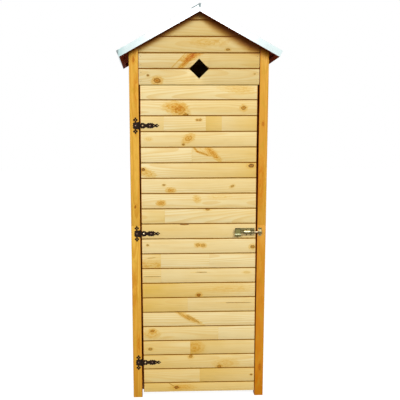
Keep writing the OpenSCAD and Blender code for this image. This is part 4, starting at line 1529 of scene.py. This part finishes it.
# %% Finishes of the ironwork
rod_z, flat = bolt_z / MM, front_y / MM - 1.8
(handle_x, _, handle_foot), (_, _, handle_head) = (corner / MM for corner in corners("bolt"))
black_metal = metal_finish("black powder coat", linear(27, 14, 5), linear(44, 27, 14), 0.6, 0.0,
                           0.5, shine=0.1)
# In the zones the flat plate is lighter below the rod than above it, where painted shade of the
# hood lies; the hood's crown and the keeper's loop carry painted highlights.
yellow_zinc_with_painted_light = metal_finish(
    "yellow zinc with painted light", linear(92, 82, 28), linear(66, 56, 14), 0.27, 0.9, coat=0.8,
    colour_and_light_zones=[((None, flat, None), (None, None, rod_z), linear(158, 136, 84)),
           ((None, flat, rod_z), (None, None, None), linear(112, 100, 46)),
           ((214, None, rod_z + 1.5), (249, flat - 6, rod_z + 10), linear(222, 214, 160)),
           ((290, None, rod_z + 5), (None, None, rod_z + 10), linear(244, 226, 172))])
# In the zones the handle's middle is lighter than its rim, the bright band on the bead is a painted
# highlight, and the rod has its own colour.
bolt_metal_with_highlight = metal_finish(
    "bolt metal with painted highlight", linear(86, 78, 26), linear(70, 62, 16), 0.3, 0.9, coat=0.5,
    colour_and_light_zones=[((handle_x + 3.5, None, handle_foot + 3.5),
            (handle_x + 26.5, None, handle_head - 3.5), linear(118, 114, 62)),
           ((None, None, rod_z - 11.4), (handle_x + 30, None, rod_z - 8.4), linear(228, 232, 188)),
           ((250, None, None), (None, None, None), linear(150, 130, 98))])
print("black, yellow and rod finishes")

# %% Ironwork from the solid pieces
def soften(node, name, body, finish, width):
    """A merged copy of a solid, with narrow rounded edges, in the solid's place."""
    mesh = frame["nodes"][node].data.copy()
    mesh.materials.clear()
    work = open_mesh(mesh, 0.01 * MM)
    bmesh.ops.dissolve_limit(work, angle_limit=radians(2.0), verts=work.verts, edges=work.edges)
    bmesh.ops.recalc_face_normals(work, faces=work.faces)
    write_mesh(work, mesh)
    edge = dress(name, mesh, body, finish, [node], 35).modifiers.new("edge", "BEVEL")
    edge.width, edge.segments, edge.limit_method = width, 2, "ANGLE"
    edge.angle_limit, edge.harden_normals = radians(35), False


HINGE_BEVEL, LATCH_BEVEL = 0.35 * MM, 0.3 * MM
for word, (part, body) in product(HINGES, (("plate", "cabinet"), ("strap", "door"))):
    node = f"hinge_{part}_{word}"
    soften(node, node + "_iron", body, black_metal, HINGE_BEVEL)
for node, ending, body, slot, finish in (
    ("bolt_plate", "_guides", "door", "latch_yellow_zinc", yellow_zinc_with_painted_light),
    ("bolt_keeper", "_loop", "cabinet", "latch_yellow_zinc", yellow_zinc_with_painted_light),
    ("bolt", "_rod", "bolt", "bolt_steel", bolt_metal_with_highlight),
):
    soften(node, node + ending, body, finish, LATCH_BEVEL)
print("three hinges and a bolt")

# %% Screws of the bolt and its keeper
latch_screw = metal_finish("browned latch screw", linear(96, 76, 34), linear(64, 48, 18), 0.35, 0.8)
for name, columns, spread, body in (
    ("bolt_plate_screws", (234 * MM, 255 * MM), 14.4 * MM, "door"),
    ("keeper_screws", (keeper_x,), 14.3 * MM, "cabinet"),
):
    places = [(x, bolt_face, bolt_z + sign * spread) for x in columns for sign in (-1, 1)]
    put_screws(name, places, body, latch_screw)
print("six screws in the latch")
